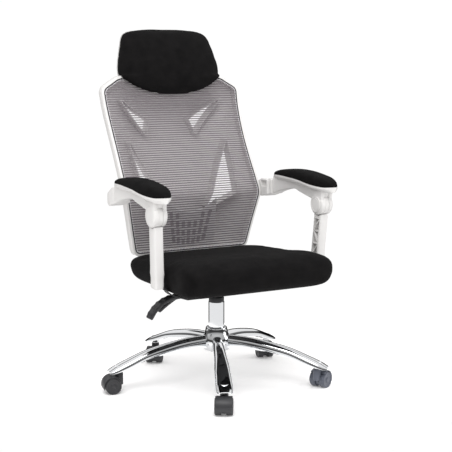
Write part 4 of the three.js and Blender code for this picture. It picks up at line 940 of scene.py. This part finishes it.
# ------------------------------------------------------------------------------ headrest
# A foam pad in the seat's black knit, six-sided with soft corners, on a white shell that hooks
# over the top of the ring.
headrest_half = along([
    (895.5, 4), (896.2, 24), (898, 46), (901, 66), (905.5, 89), (913, 114), (925, 142), (938, 163),
    (951, 181), (962, 188), (978, 189), (1005, 185), (1032, 178), (1059, 170), (1086, 161),
    (1097, 151), (1104, 134), (1109, 110), (1113, 72), (1115, 30)])
headrest_thick = along([
    (895, 6), (898, 8), (903, 11), (912, 16), (925, 23), (938, 28), (955, 33), (1020, 40), (1065, 37),
    (1092, 29), (1104, 20), (1110, 13), (1113, 8), (1115, 5)])
headrest_overhang = along([(962, 17), (1005, 15.5), (1059, 10), (1113, 6)])
over_ring = 961.1


def headrest_section(height, back):
    """A level section: full across its front and nearly flat behind."""
    wide = headrest_half(height) - 2
    front, side = 0.6 - 2.1 - headrest_thick(height), back - 5.5
    outline = []
    for step in range(49):
        angle = math.pi * step / 48
        outline.append((wide * math.copysign(abs(math.cos(angle)) ** 0.62, math.cos(angle)),
                        side + (front - side) * math.sin(angle) ** 0.8))
    outline += [((wide - 5) * (n / 8 - 1), back - 0.5) for n in range(17)]
    return [Vector((x, back_y(height) + depth, height)) for x, depth in outline]


pillow = bmesh.new()
skinned([headrest_section(height, -2.1) for height in (
    895.8, 896.6, 898, 900, 902.5, 905, 908, 912, 918, 925, 931, 938, 944, 951, 956, over_ring)]
        + [headrest_section(height, headrest_overhang(height)) for height in (
            over_ring + 0.6, 966, 972, 978, 990, 1005, 1018, 1032, 1045, 1059, 1072, 1083, 1090, 1096, 1101,
            1105, 1108, 1110.5, 1112.5, 1114)], pillow)
head_cover = settled(pillow, "headrest_cover", black_knit, "back", ["headrest_cushion"], "black_fabric")
stuffed(head_cover, 0.005, 0.0035)

head_shell = bmesh.new()
head_rows = []
for number in range(37):
    height = 960.3 + (1106 - 960.3) * number / 36
    wide, near = headrest_half(height) - 7.5, headrest_overhang(height) + 0.3
    thick = 1 - 0.4 * smooth_share(height, 1092, 1106)
    front = [Vector((wide * n / 24, back_y(height) + near, height)) for n in range(-24, 25)]
    back = [Vector((wide * n / 24, back_y(height) + near + (8 - 5 * (n / 24) ** 4) * thick, height))
            for n in range(24, -25, -1)]
    head_rows.append(front + back)
skinned(head_rows, head_shell)
hook_line = [(19, 960.7), (26.4, 960.7), (26.4, 934.7), (30.9, 934.7), (31.9, 964.7), (23.5, 978.7),
             (19, 978.7)]
hooks = [slab([(back_y(height) + depth, height) for depth, height in hook_line], side * 70 - 15,
              side * 70 + 15, from_the_side, 1.2) for side in (-1, 1)]
settled(merged(head_shell, *hooks), "headrest_back", white_plastic, "back", ["headrest_shell"],
        "white_plastic", sharp=35)

# ------------------------------------------------------------------------------ armrests
# White nylon arms under black foam pads. Each hangs on a pin at the ring and folds with a post
# that stands beside the seat: the knee between them is a drum with the post's tongue in its slot.
arm_x, knee_y, knee_z = 285, -160, 568
drum_radius, drum_outside, knee_slot_half = 33, 21.5, 7.3
pad_seam = along([(-224, 625), (-202, 624), (-184, 625.5), (-140, 630), (-80, 637), (-15, 640),
                  (60, 641), (102, 638)])
pad_crown = along([(-224, 630), (-214, 640), (-197, 647), (-175, 653), (-140, 658), (-90, 664),
                   (-40, 666), (15, 663), (70, 655), (94, 647), (102, 641)])
pad_half_width = along([(-224, 8), (-217, 18), (-202, 28), (-182, 35.5), (-158, 39.5), (-130, 41),
                        (-100, 40), (-40, 36), (20, 31), (70, 26), (94, 17), (102, 8)])
pad_places = [-224, -223.4, -222, -220, -217, -213, -208, -202, -195] + list(range(-188, 88, 8)) + [
    90, 94, 97, 99.5, 101.3, 102]
lip_height = 17

arm_foam = finish_named("arm_pad_foam", (0.0045, 0.0042, 0.0044), 0.9, Sheen_Weight=0.008,
                        Specular_IOR_Level=0.08)
knitted(arm_foam, 0.0013, 0.4)
tinted(arm_foam, 40, (0.0032, 0.003, 0.0031), (0.0058, 0.0053, 0.0055))


def arm_pad():
    sections = []
    for y in pad_places:
        wide, low = max(2, pad_half_width(y) - 0.6), pad_seam(y) + 0.3
        high = max(pad_crown(y), low + 1)
        top = []
        for step in range(33):
            angle = math.pi * step / 32
            top.append(Vector((arm_x + wide * math.copysign(abs(math.cos(angle)) ** 0.55, math.cos(angle)),
                               y, low + (high - low) * math.sin(angle) ** 0.7)))
        sections.append(top)
    bm = bmesh.new()
    skinned(sections, bm)
    return bm


def arm_lip():
    shape = rounded_outline([(1, 0, 0), (-1, 0, 0), (-1, -0.35, 0.1), (-0.6, -1, 0.2), (0.6, -1, 0.2),
                             (1, -0.35, 0.1)], 4)
    sections = []
    for y in pad_places:
        wide = pad_half_width(y)
        sections.append([Vector((arm_x + u * wide, y, pad_seam(y) + v * lip_height)) for u, v in shape])
    bm = bmesh.new()
    skinned(sections, bm)
    return bm


def arm_web():
    under = along([(-34, 604), (-6, 602), (24, 597), (54, 590), (85, 580), (98, 574)])
    outline = [Vector((98 - 132 * n / 28, under(98 - 132 * n / 28))) for n in range(29)]
    outline += [Vector(p) for p in ((-42, 602), (-54, 598), (-90, 590.5), (-130, 581.5), (-136, 585))]
    outline += [Vector((y, pad_seam(y) - 2)) for y in (-136, -110, -80, -50, -15, 20, 60)]
    outline.append(Vector((98, 634)))
    return slab(outline, arm_x - 18, arm_x + 18, from_the_side, 3.5, 3)


def arm_body():
    block = slab(rounded_outline([(151, 604, 6), (151, 572, 8), (141, 563, 6), (120, 569, 8), (98, 576, 4),
                                  (98, 624, 6), (114, 626, 8)]), 259.5, arm_x + 18, from_the_side, 3, 3)
    neck_top = pad_seam(knee_y) - lip_height + 1
    neck_line = [Vector(p) for p in ((knee_y - 27, knee_z + 14), (knee_y - 29, neck_top),
                                     (knee_y + 31, neck_top), (knee_y + 27, knee_z + 14))]
    bridge_line = [Vector((knee_y + 34.4 * math.cos(turn), knee_z + 34.4 * math.sin(turn)))
                   for turn in (math.radians(46 + 4 * n) for n in range(23))]
    bridge_line += [Vector((knee_y - 28, neck_top)), Vector((knee_y + 30, neck_top))]
    cheek_inside, cheek_outside = knee_slot_half + 0.5, drum_outside - 0.5
    neck = [slab(neck_line, arm_x - cheek_outside, arm_x - cheek_inside, from_the_side, 3.5, 4),
            slab(neck_line, arm_x + cheek_inside, arm_x + cheek_outside, from_the_side, 3.5, 4),
            slab(bridge_line, arm_x - 12, arm_x + 12, from_the_side, 0)]
    rim = [(drum_radius, 15.5), (32.4, 18), (31, 20), (28.8, 21.2), (26.5, drum_outside)]
    drums = [lathe([(radius, side * out) for radius, out in (
        (0, knee_slot_half), (drum_radius, knee_slot_half), *rim, (0, drum_outside))],
                   72, axis=(1, 0, 0), centre=(arm_x, knee_y, knee_z)) for side in (-1, 1)]
    return merged(arm_lip(), arm_web(), block, *neck, *drums)


def knee_cap():
    face = arm_x - drum_outside - 0.3
    return lathe([(0, face), (24.5, face), (24.5, face - 2), (23.4, face - 3), (20.5, face - 3),
                  (20, face - 2), (19, face - 2), (18.5, face - 3), (0, face - 3.2)], 64, axis=(1, 0, 0),
                 centre=(0, knee_y, knee_z))


def arm_bracket():
    plate = slab(rounded_outline([(166, 612, 6), (166, 572, 6), (141, 563.5, 6), (120, 569.5, 8),
                                  (103, 575, 4), (103, 622, 6), (140, 624, 8)]), 247.2, 259.2,
                 from_the_side, 2, 2)
    recess = slab(rounded_outline([(141, 617, 3), (141, 598, 3), (107, 598, 3), (107, 617, 3)]), 240, 255,
                  from_the_side, 0)
    pin = lathe([(0, 258), (6, 258), (6, 295), (0, 295)], 32, axis=(1, 0, 0), centre=(0, 128, 595))
    return merged(carved(plate, recess), pin)


foot_x, foot_y, foot_z = 278, -148, 366
foot_rise = 18
cradle_radius = 35.7
post_length = math.hypot(knee_y - foot_y, knee_z - foot_z)
post_lean = math.atan2(knee_y - foot_y, knee_z - foot_z)
shoulder = post_length - cradle_radius


def splayed(bm):
    """Leans a shape outwards from the foot to the knee."""
    for vert in bm.verts:
        share = min(max((vert.co.z - foot_rise) / (shoulder - foot_rise), 0), 1)
        vert.co.x += (arm_x - foot_x) * share
    return bm


def post():
    shaft = bmesh.new()
    sections = []
    for height, half_x, half_y in (
            (-14, 10.4, 12.4), (-13.5, 11.8, 14), (-12.4, 12.7, 15.8), (-10, 13.4, 17.8), (-5, 13.5, 19.1),
            (4, 13.5, 19.5), (foot_rise, 13.5, 19.5), (24, 13.9, 20.4), (31, 14.5, 21), (40, 14.5, 20.4),
            (50, 14.5, 19.5), (90, 14.5, 19.3), (130, 14.5, 19.3), (shoulder - 4, 14.5, 19.5),
            (shoulder + 12, 14.5, 19.5)):
        sections.append([Vector((x, y, height)) for x, y in rounded_outline(
            [(half_x, -half_y, 6), (half_x, half_y, 6), (-half_x, half_y, 6), (-half_x, -half_y, 6)], 3)])
    skinned(sections, shaft)
    low, high = 38, shoulder - 10
    bay = (high - low) / 3
    pockets = []
    for number in range(3):
        start, flip = low + number * bay, -1 if number % 2 else 1
        for corners in (((-13, 2.6), (13, 2.6), (-13, bay - 2.6)), ((13, 7.2), (13, bay), (-11, bay))):
            pockets.append(slab([Vector((along_y * flip, start + up)) for along_y, up in corners],
                                -15.5, 6.5, from_the_side, 0))
    shaft = splayed(carved(shaft, merged(*pockets)))
    cradle = lathe([(0, -30), (cradle_radius, -30), (cradle_radius, 30), (0, 30)], 96, axis=(1, 0, 0),
                   centre=(arm_x - foot_x, 0, post_length))
    shaft = carved(shaft, cradle)
    tongue = lathe([(0, -7), (drum_radius - 1, -7), (drum_radius, -6), (drum_radius, 6),
                    (drum_radius - 1, 7), (0, 7)], 72, axis=(1, 0, 0),
                   centre=(arm_x - foot_x, 0, post_length))
    neck = slab([Vector(c) for c in ((-12, shoulder - 8), (12, shoulder - 8),
                                     (12, post_length - 24), (-12, post_length - 24))],
                arm_x - foot_x - 7, arm_x - foot_x + 7, from_the_side, 0.5)
    whole = merged(shaft, tongue, neck)
    bmesh.ops.rotate(whole, verts=whole.verts, cent=(0, 0, 0), matrix=Matrix.Rotation(-post_lean, 3, "X"))
    bmesh.ops.translate(whole, verts=whole.verts, vec=(foot_x, foot_y, foot_z))
    return whole


for side, turned_over in (("left", 1), ("right", -1)):
    for shape, name, finish, body, node, slot_name in (
            (arm_body(), "arm_frame", white_plastic, "arm", "arm_body", "white_plastic"),
            (arm_pad(), "arm_cushion", arm_foam, "arm", "arm_pad", "arm_pad_foam"),
            (knee_cap(), "knee_cap", white_plastic, "arm", "knee_pin", "white_plastic"),
            (arm_bracket(), "arm_hinge", white_plastic, "back", "arm_bracket", "white_plastic"),
            (post(), "arm_post", white_plastic, "post", "post", "white_plastic")):
        bmesh.ops.scale(shape, verts=shape.verts, vec=(turned_over, 1, 1))
        piece = settled(shape, f"{name}_{side}", finish, body if body == "back" else f"{body}_{side}",
                        [f"{node}_{side}"], slot_name, sharp=35)

# ------------------------------------------------------------------------------ kept solids
# Pressed, drawn and turned pieces whose solid is already the real shape only take their finish. The
# plywood board is layered through its thickness, with black cloth glued under it and round its edges.
plywood = finish_named("plywood", (0.5, 0.4, 0.25), 0.7)
tree = plywood.node_tree
board_place = node_of(plywood, "ShaderNodeTexCoord")
board_height = node_of(plywood, "ShaderNodeSeparateXYZ")
plies = node_of(plywood, "ShaderNodeMath", operation="MULTIPLY")
plies.inputs[1].default_value = 2 * math.pi / 0.0028
ply_wave = node_of(plywood, "ShaderNodeMath", operation="SINE")
ply_tone = node_of(plywood, "ShaderNodeValToRGB")
ply_tone.color_ramp.elements[0].color = (0.36, 0.27, 0.15, 1)
ply_tone.color_ramp.elements[1].color = (0.56, 0.45, 0.29, 1)
board_faces = node_of(plywood, "ShaderNodeSeparateXYZ")
wrapped = node_of(plywood, "ShaderNodeMath", operation="LESS_THAN")
wrapped.inputs[1].default_value = 0.5
covered = node_of(plywood, "ShaderNodeMix", data_type="RGBA")
covered.inputs["B"].default_value = (0.008, 0.008, 0.009, 1)
tree.links.new(board_place.outputs["Object"], board_height.inputs["Vector"])
tree.links.new(board_height.outputs["Z"], plies.inputs[0])
tree.links.new(plies.outputs["Value"], ply_wave.inputs[0])
tree.links.new(ply_wave.outputs["Value"], ply_tone.inputs["Fac"])
tree.links.new(board_place.outputs["Normal"], board_faces.inputs["Vector"])
tree.links.new(board_faces.outputs["Z"], wrapped.inputs[0])
tree.links.new(ply_tone.outputs["Color"], covered.inputs["A"])
tree.links.new(wrapped.outputs["Value"], covered.inputs["Factor"])
tree.links.new(covered.outputs["Result"], tree.nodes["Principled BSDF"].inputs["Base Color"])
for node, finish in (
        ("thrust_bearing", bright_steel), ("piston_rod", bright_steel),
        ("gas_cylinder", black_steel), ("release_button", bright_steel),
        ("mechanism_tray", black_steel), ("recline_shaft", bright_steel),
        ("post_bracket_left", black_steel), ("post_bracket_right", black_steel),
        ("height_lever", black_steel), ("recline_lever", black_steel),
        ("seat_board", plywood), ("back_bar", black_steel)):
    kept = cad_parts[node]
    kept.data.materials.clear()
    kept.data.materials.append(finish)

# ------------------------------------------------------------------------------ floor
# A round pale studio floor whose rim can't be told from the backdrop.
floor_shape = bmesh.new()
bmesh.ops.create_circle(floor_shape, cap_ends=True, segments=128, radius=0.8)
floor_mesh = bpy.data.meshes.new("floor")
floor_shape.to_mesh(floor_mesh)
floor_shape.free()
floor = bpy.data.objects.new("floor", floor_mesh)
bpy.context.scene.collection.objects.link(floor)
floor_paint = finish_named("floor_paint", (0.98, 0.972, 0.97), 0.6, Specular_IOR_Level=0.2,
                           Emission_Strength=0.13)
floor_mesh.materials.append(floor_paint)
